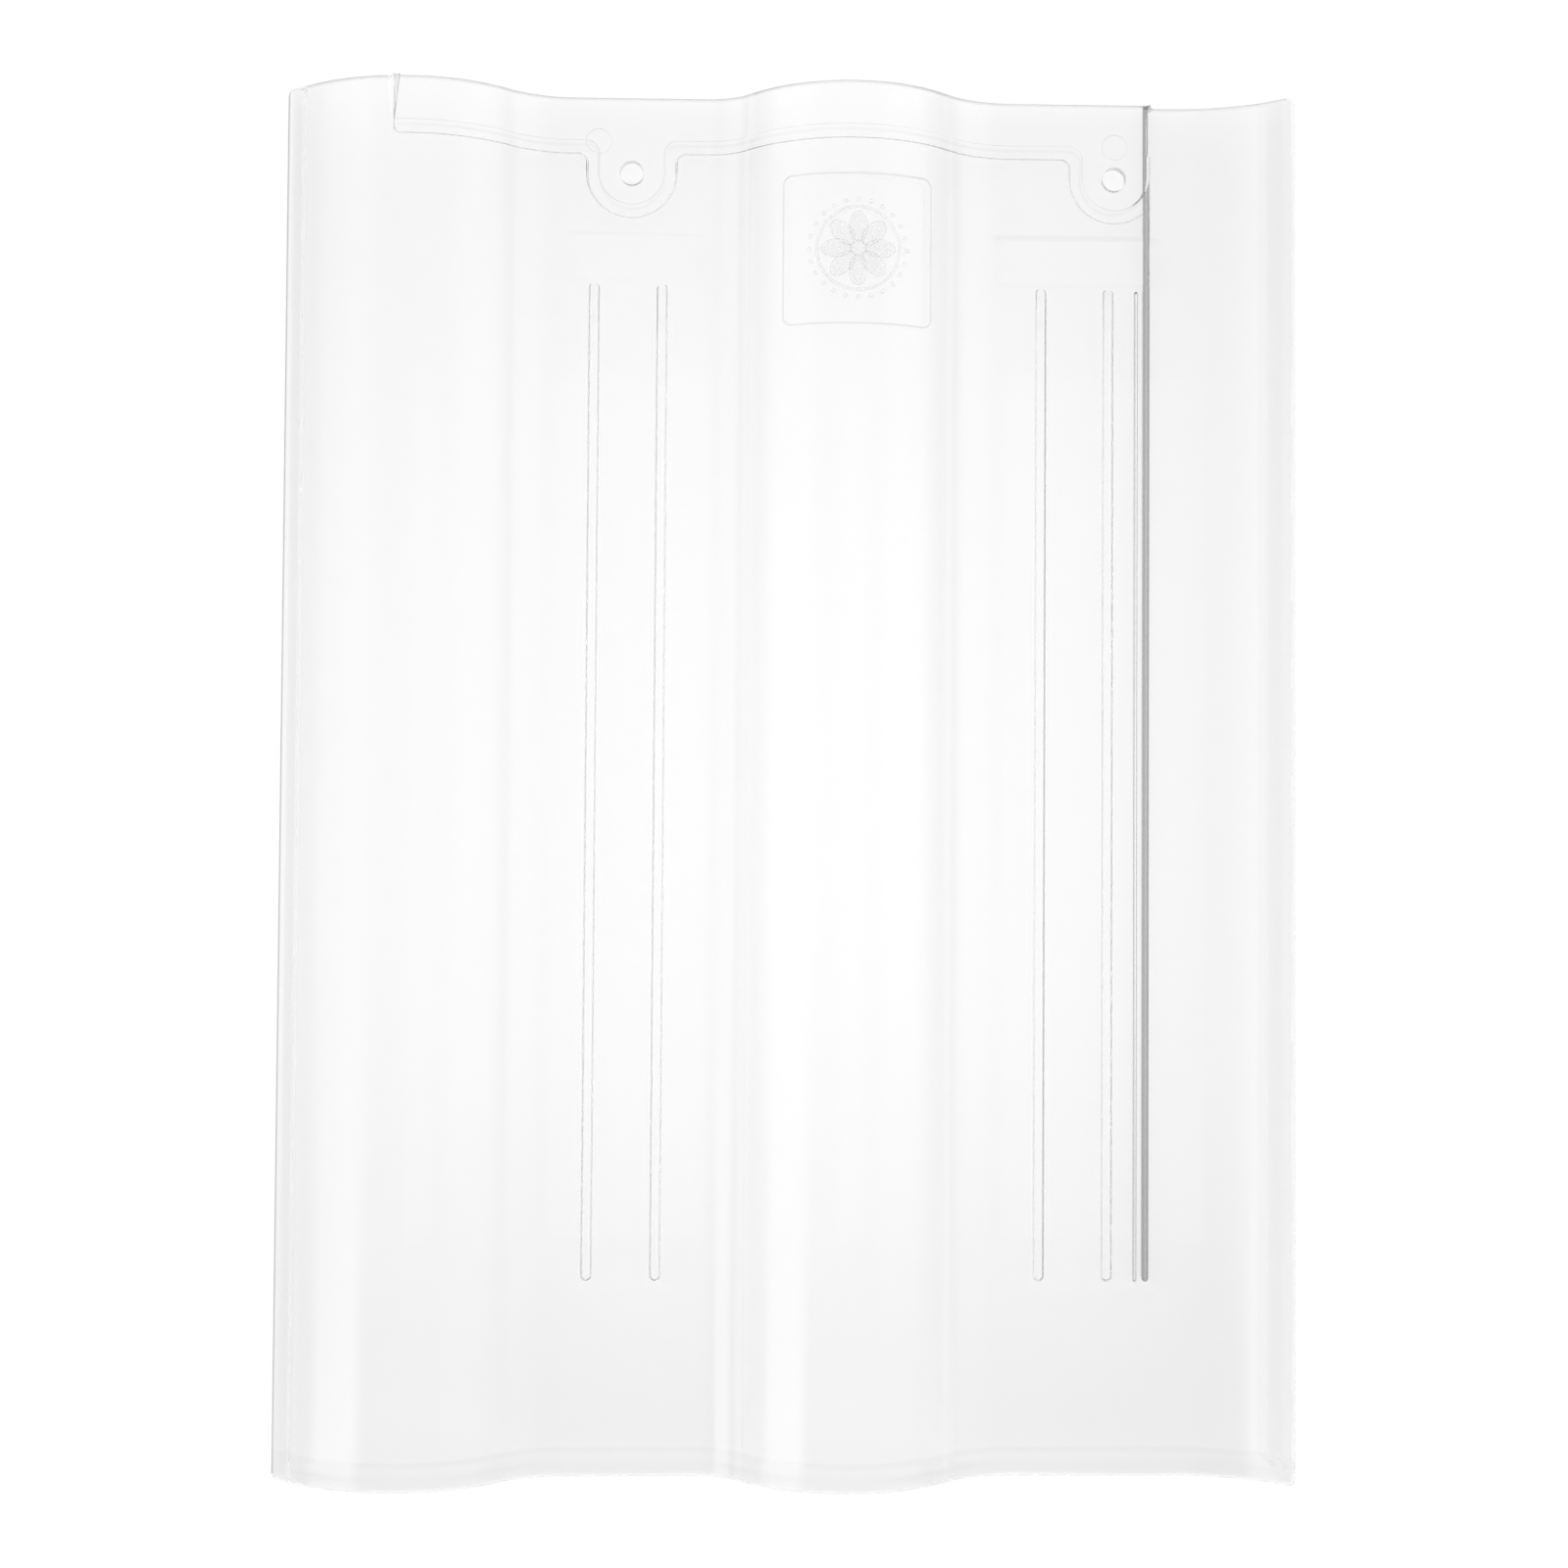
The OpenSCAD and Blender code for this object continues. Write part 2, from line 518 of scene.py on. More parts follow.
@dataclass(frozen=True)
class WalledStep(Step):
    """A change of level that ends against one upright wall on its left.

    Attributes:
        wall: Lower and upper end of the wall in plan.
        wall_blend: Width of the wall's slope.
        wall_shade: Painted shade on the wall.
        wedge_shade: Painted shade on the wedge between the wall and an upright line left of its foot.
        wedge_reach: Distance of that line from the wall's foot.
        seam: Width of the line.
    """

    wall: tuple[Place, Place] = ((0.0, 0.0), (0.0, 1.0))
    wall_blend: float = 0.5
    wall_shade: float = 0.4
    wedge_shade: float = 0.25
    wedge_reach: float = 0.4
    seam: float = 0.02

    def past_wall(self, points: Points) -> np.ndarray:
        """Share of the wall's slope that has been passed.

        Args:
            points: Places in plan.

        Returns:
            A share for each place, from 0 to 1.
        """
        (x0, y0), (x1, y1) = self.wall
        wall_x = x0 + (points[:, 1] - y0) * (x1 - x0) / (y1 - y0)
        return np.clip((points[:, 0] - wall_x) / self.wall_blend, 0, 1)

    def level(self, points: Points) -> np.ndarray:
        """Change of depth at points in plan."""
        return super().level(points) * smooth(self.past_wall(points))

    def darkness(self, points: Points) -> np.ndarray:
        """Painted shade on the slope and on the wall.

        Args:
            points: Places in plan.

        Returns:
            A darkness for each place, from 0 to 1.
        """
        share = self.past_wall(points)
        line = self.wall[0][0] - self.wedge_reach - self.seam / 2
        wedge = self.wedge_shade * (share < 0.5) * (points[:, 0] > line)
        near_wall = np.maximum(self.wall_shade * hump(share), wedge) * smooth(self.share(points))
        return np.maximum(super().darkness(points) * (share > 0.5), near_wall)

    def guides(self) -> list[Points]:
        """Guides along the step's slope and its wall.

        Returns:
            Outlines, and narrow frames along the wall.
        """
        (x0, y0), (x1, y1) = self.wall
        lines = super().guides()
        quarter = 0.25
        for share in (0.0, quarter):
            a, b = self.wall_blend * share, self.wall_blend * (1 - share)
            lines.append(np.array([(x0 + a, y0), (x0 + b, y0), (x1 + b, y1), (x1 + a, y1)]))
        middle = self.wall_blend / 2
        lines.append(np.array([(x0 + middle, y0), (x1 + middle, y1), (x1 + middle + HAIR, y1)]))
        line = x0 - self.wedge_reach
        return [*lines, rect(line - self.seam, y0, line, y1)]


# ---------------------------------------------------------------- sizes


@dataclass(frozen=True)
class Wave:
    """The rolls and the side strip, in millimetres from the left edge and over the pans.

    Attributes:
        side_x: Crown of the roll at the left edge.
        side_h: Its height.
        side_outer_r: Radius of its crown on the left.
        side_outer_w: Width of the left flank, of which the tile has the upper part.
        side_inner_r: Radius of its crown on the right.
        side_inner_w: Width of the right flank.
        middle_x: Crown of the middle roll.
        middle_h: Its height.
        middle_r: Radius of its crown.
        middle_left_w: Width of its left flank.
        middle_right_w: Width of its right flank.
        rise_x: Where the side strip starts to curve upwards.
        rise_r: Radius of that curve.
        foot_w: Width of the foot along the left edge, where the underside is level.
        foot_blend: Width of the foot's wall.
    """

    side_x: float = 38.0
    side_h: float = 17.4
    side_outer_r: float = 53.0
    side_outer_w: float = 48.0
    side_inner_r: float = 45.0
    side_inner_w: float = 46.5
    middle_x: float = 168.5
    middle_h: float = 19.0
    middle_r: float = 43.0
    middle_left_w: float = 43.0
    middle_right_w: float = 48.0
    rise_x: float = 265.0
    rise_r: float = 56.0
    foot_w: float = 6.5
    foot_blend: float = 0.12

    def flanks(self) -> list[tuple[float, int, float, float, float]]:
        """Lists the four flanks of the two rolls.

        Returns:
            Crown, direction, width, height and crown radius of each.
        """
        return [
            (self.side_x, -1, self.side_outer_w, self.side_h, self.side_outer_r),
            (self.side_x, 1, self.side_inner_w, self.side_h, self.side_inner_r),
            (self.middle_x, -1, self.middle_left_w, self.middle_h, self.middle_r),
            (self.middle_x, 1, self.middle_right_w, self.middle_h, self.middle_r),
        ]

    def columns(self, width: float, turn: float) -> list[float]:
        """Places across the tile between which the surface turns by a small angle.

        Args:
            width: Width of the tile.
            turn: The angle in degrees.

        Returns:
            The places in millimetres from the left edge.
        """
        places: list[float] = []
        for crown, side, w, h, crown_r in self.flanks():
            slope = 2 * math.atan(h / w)
            foot_r = w / math.sin(slope) - crown_r
            count = math.ceil(math.degrees(slope) / turn)
            for i in range(count + 1):
                reach = math.sin(slope * i / count)
                places += [crown + side * crown_r * reach, crown + side * (w - foot_r * reach)]
        last = math.asin((width - self.rise_x) / self.rise_r)
        count = math.ceil(math.degrees(last) / turn)
        places += [self.rise_x + self.rise_r * math.sin(last * i / count) for i in range(count)]
        edge, closest, beside = 0.3, 0.05, 0.06
        inside = sorted(x for x in places if edge < x < width - edge)
        spaced = [x for i, x in enumerate(inside) if i == 0 or x - inside[i - 1] > closest]
        wall = self.foot_w - self.foot_blend
        return spaced + [wall - beside, wall, self.foot_w, self.foot_w + beside]


@dataclass(frozen=True)
class TileSizes:
    """All sizes of the moulding, in millimetres."""

    width: float
    length: float
    wave: Wave = field(default_factory=Wave)
    sheet: float = 3.0
    # outline, round edges and thin rims
    corner_r: float = 2.0
    corner_short: float = 0.5
    strip_short: float = 1.4
    notch_r: float = 0.6
    edge_r: float = 1.0
    hole_edge_r: float = 0.4
    right_thin: float = 2.7
    right_taper: float = 10.0
    right_edge: float = 0.1
    tail_thin: float = 2.4
    tail_edge: float = 0.3
    # nail band with its tabs and holes
    band_x: float = 33.0
    band_l: float = 17.3
    band_sink: float = 1.5
    band_blend: float = 0.7
    recess_blend: float = 0.8
    recess_corner_r: float = 0.5
    band_wall: float = 3.5
    band_slant: float = 2.0
    nail_x: float = 102.5
    nail_gap: float = 146.0
    nail_y: float = 22.8
    nail_d: float = 7.0
    tab_r: float = 13.8
    tab_fillet: float = 2.5
    # fin, ribs, pads and lip under the sheet
    lap: float = 57.0
    fin_x: float = 257.4
    fin_w: float = 2.0
    fin_h: float = 4.0
    fin_r: float = 0.9
    fin_blend: float = 0.6
    rib1_x: float = 91.5
    rib_gap: float = 20.4
    rib3_x: float = 226.4
    rib_w: float = 2.8
    rib_h: float = 1.2
    rib_draft: float = 0.3
    rib_past: float = 1.0
    thin_rib_w: float = 1.2
    thin_rib_gap: float = 1.6
    thin_rib_blend: float = 0.5
    pad_y: float = 39.5
    pad_l: float = 17.5
    pad_h: float = 0.5
    pad_blend: float = 3.0
    pad1_x: float = 77.0
    pad1_w: float = 53.0
    pad2_x: float = 204.0
    pad2_past: float = 12.0
    lip_l: float = 8.5
    lip_h: float = 1.0
    lip_blend: float = 5.0
    lip_drop: float = 0.3
    # sunk panel and round marks
    panel_x: float = 169.8
    panel_y: float = 27.8
    panel_w: float = 44.5
    panel_l: float = 45.0
    panel_r: float = 3.0
    panel_sink: float = 0.3
    panel_blend: float = 0.8
    mark_d: float = 8.0
    mark_sink: float = 0.12
    mark_blend: float = 0.4
    mark1_x: float = 92.6
    mark1_y: float = 13.5
    mark2_y: float = 13.2

    @property
    def stand(self) -> float:
        """Height of the pans' surface over the floor."""
        return self.sheet + self.fin_h

    @property
    def nails(self) -> tuple[float, float]:
        """Both nails' places across the tile."""
        return self.nail_x, self.nail_x + self.nail_gap

    @property
    def ribs(self) -> tuple[float, ...]:
        """The wide ribs' places across the tile."""
        return (self.rib1_x, self.rib1_x + self.rib_gap, self.rib3_x, self.rib3_x + self.rib_gap)

    @property
    def fin_end(self) -> float:
        """Right face of the fin."""
        return self.fin_x + self.fin_w


@dataclass(frozen=True)
class ShadeStrip:
    """A strip along the tile with painted shade, a little darker.

    Attributes:
        amount: Its painted shade, from 0 to 1.
        start: Where it starts across the tile, in millimetres.
        rise: Width over which it grows.
        end: Where it starts to fade.
        fall: Width over which it fades.
    """

    amount: float
    start: float
    rise: float
    end: float = math.inf
    fall: float = 1.0

    def darkness(self, x: np.ndarray) -> np.ndarray:
        """Painted shade at places across the tile."""
        return self.amount * smooth((x - self.start) / self.rise) * (1 - smooth((x - self.end) / self.fall))


@dataclass(frozen=True)
class Shades:
    """Painted shade on the moulding's slopes, edges and strips, from 0 for clear plastic to 1.

    Attributes:
        recess: Slopes of the nail band on the weather side.
        panel: Slopes of the sunk panel.
        mark: Slopes of the round marks.
        band: Slopes of the nail band on the underside.
        fin: Slopes of the fin and the narrow rib.
        fin_fill: The whole fin.
        thin_rib_fill: The whole narrow rib.
        lip_fill: The lip under the tail.
        pad: Slopes of the pads.
        left_ribs: Left and right slopes of the two ribs under the left pan.
        right_ribs: The same under the right pan.
        left_edge: Round edges that face left.
        head_edge: Round edges that face the head.
        hole_edge: Round edges of the nail holes.
        strip: The side strip.
        strip_rise: What it takes more where it curves upwards.
        roll_foot: Strip along the middle roll's left foot.
        left_foot: Strip next to the tile's left foot.
        right_rim: The taper to the right edge.
        tail_rim: The taper to the tail.
    """

    recess: float = 0.27
    panel: float = 0.2
    mark: float = 0.16
    band: float = 0.8
    fin: float = 0.95
    fin_fill: float = 0.85
    thin_rib_fill: float = 0.5
    lip_fill: float = 0.07
    pad: float = 0.025
    left_ribs: tuple[float, float] = (0.28, 0.22)
    right_ribs: tuple[float, float] = (0.4, 0.06)
    left_edge: float = 0.75
    head_edge: float = 0.12
    hole_edge: float = 0.02
    strip: float = 0.022
    strip_rise: float = 0.045
    roll_foot: float = 0.03
    left_foot: float = 0.03
    right_rim: float = 0.1
    tail_rim: float = 0.03


# ---------------------------------------------------------------- the moulding's two sides


class Side(Enum):
    """The two faces of the sheet."""

    WEATHER = 0
    UNDER = 1


@dataclass
class PlanMesh:
    """One side of the sheet laid flat in plan.

    Attributes:
        points: Corners in millimetres from the left tail corner.
        triangles: Anticlockwise corners of each triangle.
        loops: The open borders, the outer one first.
    """

    points: Points
    triangles: np.ndarray
    loops: list[list[int]]


@dataclass
class Moulding:
    """The tile's sheet with all that is moulded on it.

    Attributes:
        sizes: The sizes.
        shades: Darkness of its forms.
        column_turn: Largest turn of the surface between two of the mesh's columns, in degrees.
        row_gap: Distance between the mesh's rows, in millimetres.
        extent: How far lines that cross an edge are drawn past it, in millimetres.
    """

    sizes: TileSizes
    shades: Shades = field(default_factory=Shades)
    column_turn: float = 2.5
    row_gap: float = 26.0
    extent: float = 4.0

    def outline(self) -> Points:
        """Draws the tile's outline in plan.

        Returns:
            Its points, anticlockwise.
        """
        s = self.sizes
        r, notch, head = s.corner_r, s.notch_r, s.length
        strip_head = head - s.strip_short
        corner_head = head - s.corner_short
        return closed(
            arc(s.width - r, r, r, -90, 0)
            + arc(s.width - r, strip_head - r, r, 0, 90)
            + arc(s.fin_end + notch, strip_head + notch, notch, 270, 180)
            + arc(s.fin_end - notch, head - notch, notch, 0, 90)
            + [(s.band_x, head), (s.band_x, corner_head)]
            + arc(r, corner_head - r, r, 90, 180)
            + arc(r, r, r, 180, 270)
        )

    def holes(self) -> list[Points]:
        """The nail holes' outlines."""
        s = self.sizes
        return [ring(x, s.length - s.nail_y, s.nail_d / 2) for x in s.nails]

    def band(self, back: float, start: float, corner: float) -> Points:
        """Outline of the nail band with its tabs.

        Args:
            back: Distance by which it is drawn back from its outer line.
            start: Its left end.
            corner: Radius of its lower left corner.

        Returns:
            The outline, which ends past the head.
        """
        s = self.sizes
        fillet_growth, fin_gap, slack = 0.25, 0.05, 0.01
        edge = s.length - s.band_l + back
        centre = s.length - s.nail_y
        r = s.tab_r - back
        fillet = s.tab_fillet + fillet_growth * back
        above = s.length + self.extent
        points = [(start, above)] + arc(start + corner, edge + corner, corner, 180, 270)
        for x in s.nails:
            points += arc(x - r - fillet, edge - fillet, fillet, 90, 0)
            points += arc(x, centre, r, 180, 360, 4.0)
            points += arc(x + r + fillet, edge - fillet, fillet, 180, 90)
        limit = s.fin_end - fin_gap
        kept = [p for p in points if p[0] < limit and p[1] < edge + slack or p[0] < s.nails[1]]
        return closed(kept + [(limit, kept[-1][1]), (limit, above)])

    def weather_steps(self) -> list[Step]:
        """Places what is sunk into the weather side.

        Returns:
            The nail band, the panel and the two round marks.
        """
        s, shades = self.sizes, self.shades
        wall_in, past_head = 0.4, 0.1
        left = s.panel_x - s.panel_w / 2
        head = s.length - s.panel_y
        panel = round_rect(left, head - s.panel_l, left + s.panel_w, head, s.panel_r)
        marks = [
            ring(s.mark1_x, s.length - s.mark1_y, s.mark_d / 2),
            ring(s.nails[1], s.length - s.mark2_y, s.mark_d / 2),
        ]
        wall_foot = s.length - s.band_l + s.band_wall
        recess = WalledStep(
            self.band(s.band_wall, s.band_x - self.extent, s.recess_corner_r),
            s.band_sink,
            s.recess_blend,
            shade=shades.recess,
            wall=((s.band_x + wall_in, wall_foot), (s.band_x + s.band_slant, s.length + past_head)),
        )
        return [
            recess,
            Step(panel, s.panel_sink, s.panel_blend, shade=shades.panel),
            *(Step(mark, s.mark_sink, s.mark_blend, shade=shades.mark) for mark in marks),
        ]

    def under_steps(self) -> list[Step]:
        """Places what stands out under the sheet.

        Returns:
            The nail band, the narrow rib, the fin, the lip, the pads and the ribs.
        """
        s, shades = self.sizes, self.shades
        past, band_in, lip_r = self.extent, 0.1, 0.5
        pad_tail = s.length - s.pad_y - s.pad_l
        thin_x = s.fin_x - s.thin_rib_gap - s.thin_rib_w
        thin = round_rect(thin_x, s.lap, thin_x + s.thin_rib_w, s.length - s.lap, s.thin_rib_w / 2)
        fin = round_rect(s.fin_x, s.lap, s.fin_end, s.length + past, s.fin_r)
        lip = round_rect(-past, -past, s.width + past, s.lip_l, lip_r)
        band = self.band(0.0, s.band_x + band_in, s.tab_fillet)
        steps = [
            Step(band, s.band_sink, s.band_blend, shade=shades.band),
            Step(thin, s.rib_h, s.thin_rib_blend, shade=shades.fin, fill=shades.thin_rib_fill),
            Step(fin, s.fin_h, s.fin_blend, shade=shades.fin, fill=shades.fin_fill),
            Step(lip, s.lip_h, s.lip_blend, fill=shades.lip_fill),
        ]
        for start, end in ((s.pad1_x, s.pad1_x + s.pad1_w), (s.pad2_x, s.fin_x + s.pad2_past)):
            pad = rect(start, pad_tail, end, pad_tail + s.pad_l)
            steps.append(SoftPad(pad, s.pad_h, s.pad_blend, shade=shades.pad))
        reach = s.rib_w / 2 + s.rib_draft
        pairs = (shades.left_ribs, shades.left_ribs, shades.right_ribs, shades.right_ribs)
        for x, (shade, right_shade) in zip(s.ribs, pairs):
            rib = round_rect(x - reach, s.lap, x + reach, pad_tail + s.rib_past, reach)
            steps.append(FadingRib(rib, s.rib_h, 2 * s.rib_draft, shade, right_shade=right_shade))
        return steps

    def edge_distance(self, points: Points) -> np.ndarray:
        """Distance inwards from the nearest edge of the sheet, nail holes included.

        Args:
            points: Places in plan.

        Returns:
            A distance for each place, negative outside.
        """
        distance = depth_inside(self.outline(), points)
        for hole in self.holes():
            distance = np.minimum(distance, -depth_inside(hole, points))
        return distance

    def near_right(self, points: Points) -> np.ndarray:
        """Share of the right edge's taper, from 0 at its start to 1 at the edge."""
        return smooth((points[:, 0] - self.sizes.width) / self.sizes.right_taper + 1)

    def near_tail(self, points: Points) -> np.ndarray:
        """Share of the tail lip's taper, from 0 at its start to 1 at the edge."""
        return smooth(1 - points[:, 1] / self.sizes.lip_l)

    def edge_shares(self, points: Points) -> list[tuple[float, np.ndarray]]:
        """Radius of the outline's and the holes' round edges, and how far points lie in them.

        Args:
            points: Places in plan.

        Returns:
            Each radius with a share for each point, 1 at the edge and 0 where the rounding ends.
        """
        s = self.sizes
        outer = depth_inside(self.outline(), points)
        holes = np.min([-depth_inside(hole, points) for hole in self.holes()], axis=0)
        return [(r, np.clip(1 - d / r, 0, 1)) for r, d in ((s.edge_r, outer), (s.hole_edge_r, holes))]

    def rounding(self, points: Points) -> np.ndarray:
        """Depth that the round edges take off the sheet, less where the edge is thin.

        Args:
            points: Places in plan.

        Returns:
            A depth for each place.
        """
        s = self.sizes
        taken = sum(r * (1 - np.sqrt(1 - share * share)) for r, share in self.edge_shares(points))
        right = (1 - s.right_edge) * self.near_right(points)
        tail = (1 - s.tail_edge) * self.near_tail(points)
        return taken * (1 - np.maximum(right, tail))

    def depth(self, side: Side, points: Points) -> np.ndarray:
        """Depth of one side of the sheet under the weather side.

        Args:
            side: The side.
            points: Places in plan.

        Returns:
            The depth at each place, in millimetres.
        """
        s = self.sizes
        if side is Side.WEATHER:
            drop = s.lip_drop * self.near_tail(points)
            return sum(step.level(points) for step in self.steps(side)) + drop + self.rounding(points)
        added = np.max([step.level(points) for step in self.steps(side)], axis=0)
        thin = np.maximum(s.right_thin * self.near_right(points), s.tail_thin * self.near_tail(points))
        return s.sheet + added - thin - self.rounding(points)

    def steps(self, side: Side) -> list[Step]:
        """Changes of level on one side."""
        return self.weather_steps() if side is Side.WEATHER else self.under_steps()

    def veils(self) -> list[ShadeStrip]:
        """Places the strips of painted shade.

        Returns:
            Strips up the side strip and along the feet of both rolls.
        """
        wave, shades = self.sizes.wave, self.shades
        foot = wave.middle_x - wave.middle_left_w
        return [
            ShadeStrip(shades.strip_rise, start=wave.rise_x, rise=15.0),
            ShadeStrip(shades.roll_foot, start=foot, rise=4.0, end=foot + 9.5, fall=5.0),
            ShadeStrip(shades.left_foot, start=wave.foot_w, rise=4.0, end=17.0, fall=6.0),
        ]

    def darkness(self, side: Side, points: Points) -> np.ndarray:
        """Painted shade in the finish at points of one side, from 0 to 1.

        Args:
            side: The side.
            points: Places in plan.

        Returns:
            A darkness for each place.
        """
        slopes = np.max([step.darkness(points) for step in self.steps(side)], axis=0)
        if side is Side.UNDER:
            return slopes
        shades, x = self.shades, points[:, 0]
        # painted shade in strips across the tile and on the right and tail rims
        strips = shades.strip * (x > self.sizes.fin_end) + sum(shade_strip.darkness(x) for shade_strip in self.veils())
        rims = shades.right_rim * self.near_right(points) + shades.tail_rim * self.near_tail(points)
        return np.maximum(slopes, strips + rims)

    def openness(self, side: Side, points: Points) -> np.ndarray:
        """1 on the foot's wall, the nail band's left wall and the thin edges, and less near them.

        Args:
            side: The side.
            points: Places in plan.

        Returns:
            A value for each place, from 0 to 1.
        """
        s = self.sizes
        x, y = points.T
        outer = np.clip(1 - depth_inside(self.outline(), points) / s.edge_r, 0, 1)
        edge_gain, taper_end = 3, 0.9
        thin_edge = smooth(outer * edge_gain) * (self.near_right(points) + self.near_tail(points) > taper_end)
        half, slack = s.wave.foot_blend / 2, 0.01
        foot = np.abs(x - s.wave.foot_w + half) < half + slack
        wall_middle, wall_reach, below_corner = 0.3, 0.6, 0.5
        wall = np.abs(x - s.band_x - wall_middle) < wall_reach
        wall &= y > s.length - s.band_l + s.tab_fillet - below_corner
        return np.max([thin_edge, foot * (side is Side.UNDER), wall], axis=0)

    def ribbing(self, side: Side, points: Points) -> np.ndarray:
        """1 on the wide ribs and 0 off them."""
        ribs = [step.chosen(points) for step in self.under_steps() if isinstance(step, FadingRib)]
        return np.max(ribs, axis=0) * (side is Side.UNDER)

    def edge_darkness(self, points: Points, outward: np.ndarray) -> np.ndarray:
        """Painted shade on the edge walls by the way that they face.

        Args:
            points: Places in plan.
            outward: Direction out of the nearest edge at each place.

        Returns:
            A darkness for each place, which counts at the edge.
        """
        shades = self.shades
        to_left, to_head = np.clip(-outward[:, 0], 0, 1), np.clip(outward[:, 1], 0, 1)
        outer = shades.left_edge * to_left**2 + shades.head_edge * to_head
        centres = [hole.mean(0) for hole in self.holes()]
        to_hole = np.min([np.hypot(*(points - centre).T) for centre in centres], axis=0)
        return np.where(to_hole < self.sizes.nail_d, shades.hole_edge, outer)

    def guides(self, side: Side) -> list[Points]:
        """Closed lines that the mesh of one side follows.

        Args:
            side: The side.

        Returns:
            The lines, all in plan.
        """
        s = self.sizes
        lines = [self.outline(), *self.holes()]
        for angle in (0, 25, 45, 65, 80):
            back = 1 - math.sin(math.radians(angle))
            lines.append(inset(self.outline(), s.edge_r * back))
            lines += [inset(hole, -s.hole_edge_r * back) for hole in self.holes()]
        for step in self.steps(side):
            lines += step.guides()
        if side is Side.UNDER:
            for tenth in range(1, 10):
                x = s.width - s.right_taper * (1 - tenth / 10)
                lines.append(rect(x, -1.0, x + HAIR, s.length + 1.0))
        return lines

    def plan(self, side: Side) -> PlanMesh:
        """Triangulates one side in plan.

        Args:
            side: The side.

        Returns:
            The flat mesh with its open borders.
        """
        s, past = self.sizes, self.extent
        points: list[Place] = []
        edges: list[tuple[int, int]] = []
        for line in self.guides(side):
            first = len(points)
            points += [tuple(p) for p in line]
            edges += [(first + i, first + (i + 1) % len(line)) for i in range(len(line))]
        rows = list(np.arange(self.row_gap, s.length - s.pad_y, self.row_gap))
        rows += [s.lip_l * share for share in (0.25, 0.5, 0.75, 0.9, 1.0)]
        columns = s.wave.columns(s.width, self.column_turn)
        straight = [((x, -past), (x, s.length + past)) for x in columns]
        straight += [((-past, y), (s.width + past, y)) for y in rows]
        for ends in straight:
            edges.append((len(points), len(points) + 1))
            points += ends
        made = delaunay_2d_cdt([Vector(p) for p in points], edges, [], 0, NEAR, False)
        corners = np.array([tuple(p) for p in made[0]])
        triangles = np.array([face for face in made[2] if len(face) == 3])
        centres = corners[triangles].mean(1)
        triangles = triangles[self.edge_distance(centres) > 0]
        a, b, c = (corners[triangles[:, i]] for i in range(3))
        area = (b[:, 0] - a[:, 0]) * (c[:, 1] - a[:, 1]) - (c[:, 0] - a[:, 0]) * (b[:, 1] - a[:, 1])
        triangles[area < 0] = triangles[area < 0][:, ::-1]
        used, inverse = np.unique(triangles, return_inverse=True)
        corners, triangles = corners[used], inverse.reshape(triangles.shape)
        return PlanMesh(corners, triangles, self.borders(corners, triangles))

    @staticmethod
    def borders(corners: Points, triangles: np.ndarray) -> list[list[int]]:
        """Chains the open edges of a triangulation into loops, the longest first.

        Args:
            corners: Corners in plan.
            triangles: Anticlockwise triangles.

        Returns:
            Corner numbers along each loop.
        """
        following: dict[int, int] = {}
        directed = {(int(t[i]), int(t[(i + 1) % 3])) for t in triangles for i in range(3)}
        for start, end in directed:
            if (end, start) not in directed:
                following[start] = end
        loops = []
        while following:
            start, end = following.popitem()
            loop = [start]
            while end != start:
                loop.append(end)
                end = following.pop(end)
            loops.append(loop)
        widths = [np.ptp(corners[loop][:, 0]) for loop in loops]
        order = sorted(range(len(loops)), key=lambda i: -widths[i] - corners[loops[i]][:, 0].mean() * HAIR)
        return [loops[i] for i in order]

    @staticmethod
    def zip_border(upper: Points, lower: Points) -> list[tuple[int, int, int]]:
        """Triangles between two borders that follow the same outline.

        Args:
            upper: Corners of the weather side's border, in order.
            lower: Corners of the underside's border, in the same direction.

        Returns:
            Triangles whose corners count on from upper into lower.
        """

        def shares(loop: Points) -> np.ndarray:
            """Share of the way round at each corner, with 1 at the end."""
            steps = np.hypot(*(np.roll(loop, -1, 0) - loop).T)
            return np.concatenate([[0], np.cumsum(steps)]) / steps.sum()

        a, b = shares(upper), shares(lower)
        n, m = len(upper), len(lower)
        triangles = []
        i = j = 0
        while i < n or j < m:
            if j == m or (i < n and a[i + 1] <= b[j + 1]):
                triangles.append((i % n, n + j % m, (i + 1) % n))
                i += 1
            else:
                triangles.append((i % n, n + j % m, n + (j + 1) % m))
                j += 1
        return triangles

    def flat_mesh(self, name: str) -> bpy.types.Mesh:
        """The whole closed shell in plan, with its depths as attributes.

        Args:
            name: The mesh's name.

        Returns:
            The mesh, in metres around the tile's middle.
        """
        sides = [self.plan(side) for side in Side]
        offset = len(sides[0].points)
        points = np.concatenate([side.points for side in sides])
        faces = [tuple(t) for t in sides[0].triangles]
        faces += [tuple(int(i) + offset for i in t[::-1]) for t in sides[1].triangles]
        for top, bottom in zip(sides[0].loops, sides[1].loops, strict=True):
            start = sides[0].points[top[0]]
            nearest = int(np.argmin(np.hypot(*(sides[1].points[bottom] - start).T)))
            common = sides[1].points[bottom[nearest]]
            top_start = int(np.argmin(np.hypot(*(sides[0].points[top] - common).T)))
            top = top[top_start:] + top[:top_start]
            bottom = bottom[nearest:] + bottom[:nearest]
            ids = top + [i + offset for i in bottom]
            for triangle in self.zip_border(sides[0].points[top], sides[1].points[bottom]):
                faces.append(tuple(ids[i] for i in triangle))
        mesh = bpy.data.meshes.new(name)
        half = np.array([self.sizes.width / 2, self.sizes.length / 2])
        flat = np.column_stack([(points - half) * MM, np.zeros(len(points))])
        mesh.from_pydata(flat.tolist(), [], [[int(i) for i in face] for face in faces])
        self.store_fields(mesh, points, offset)
        return mesh

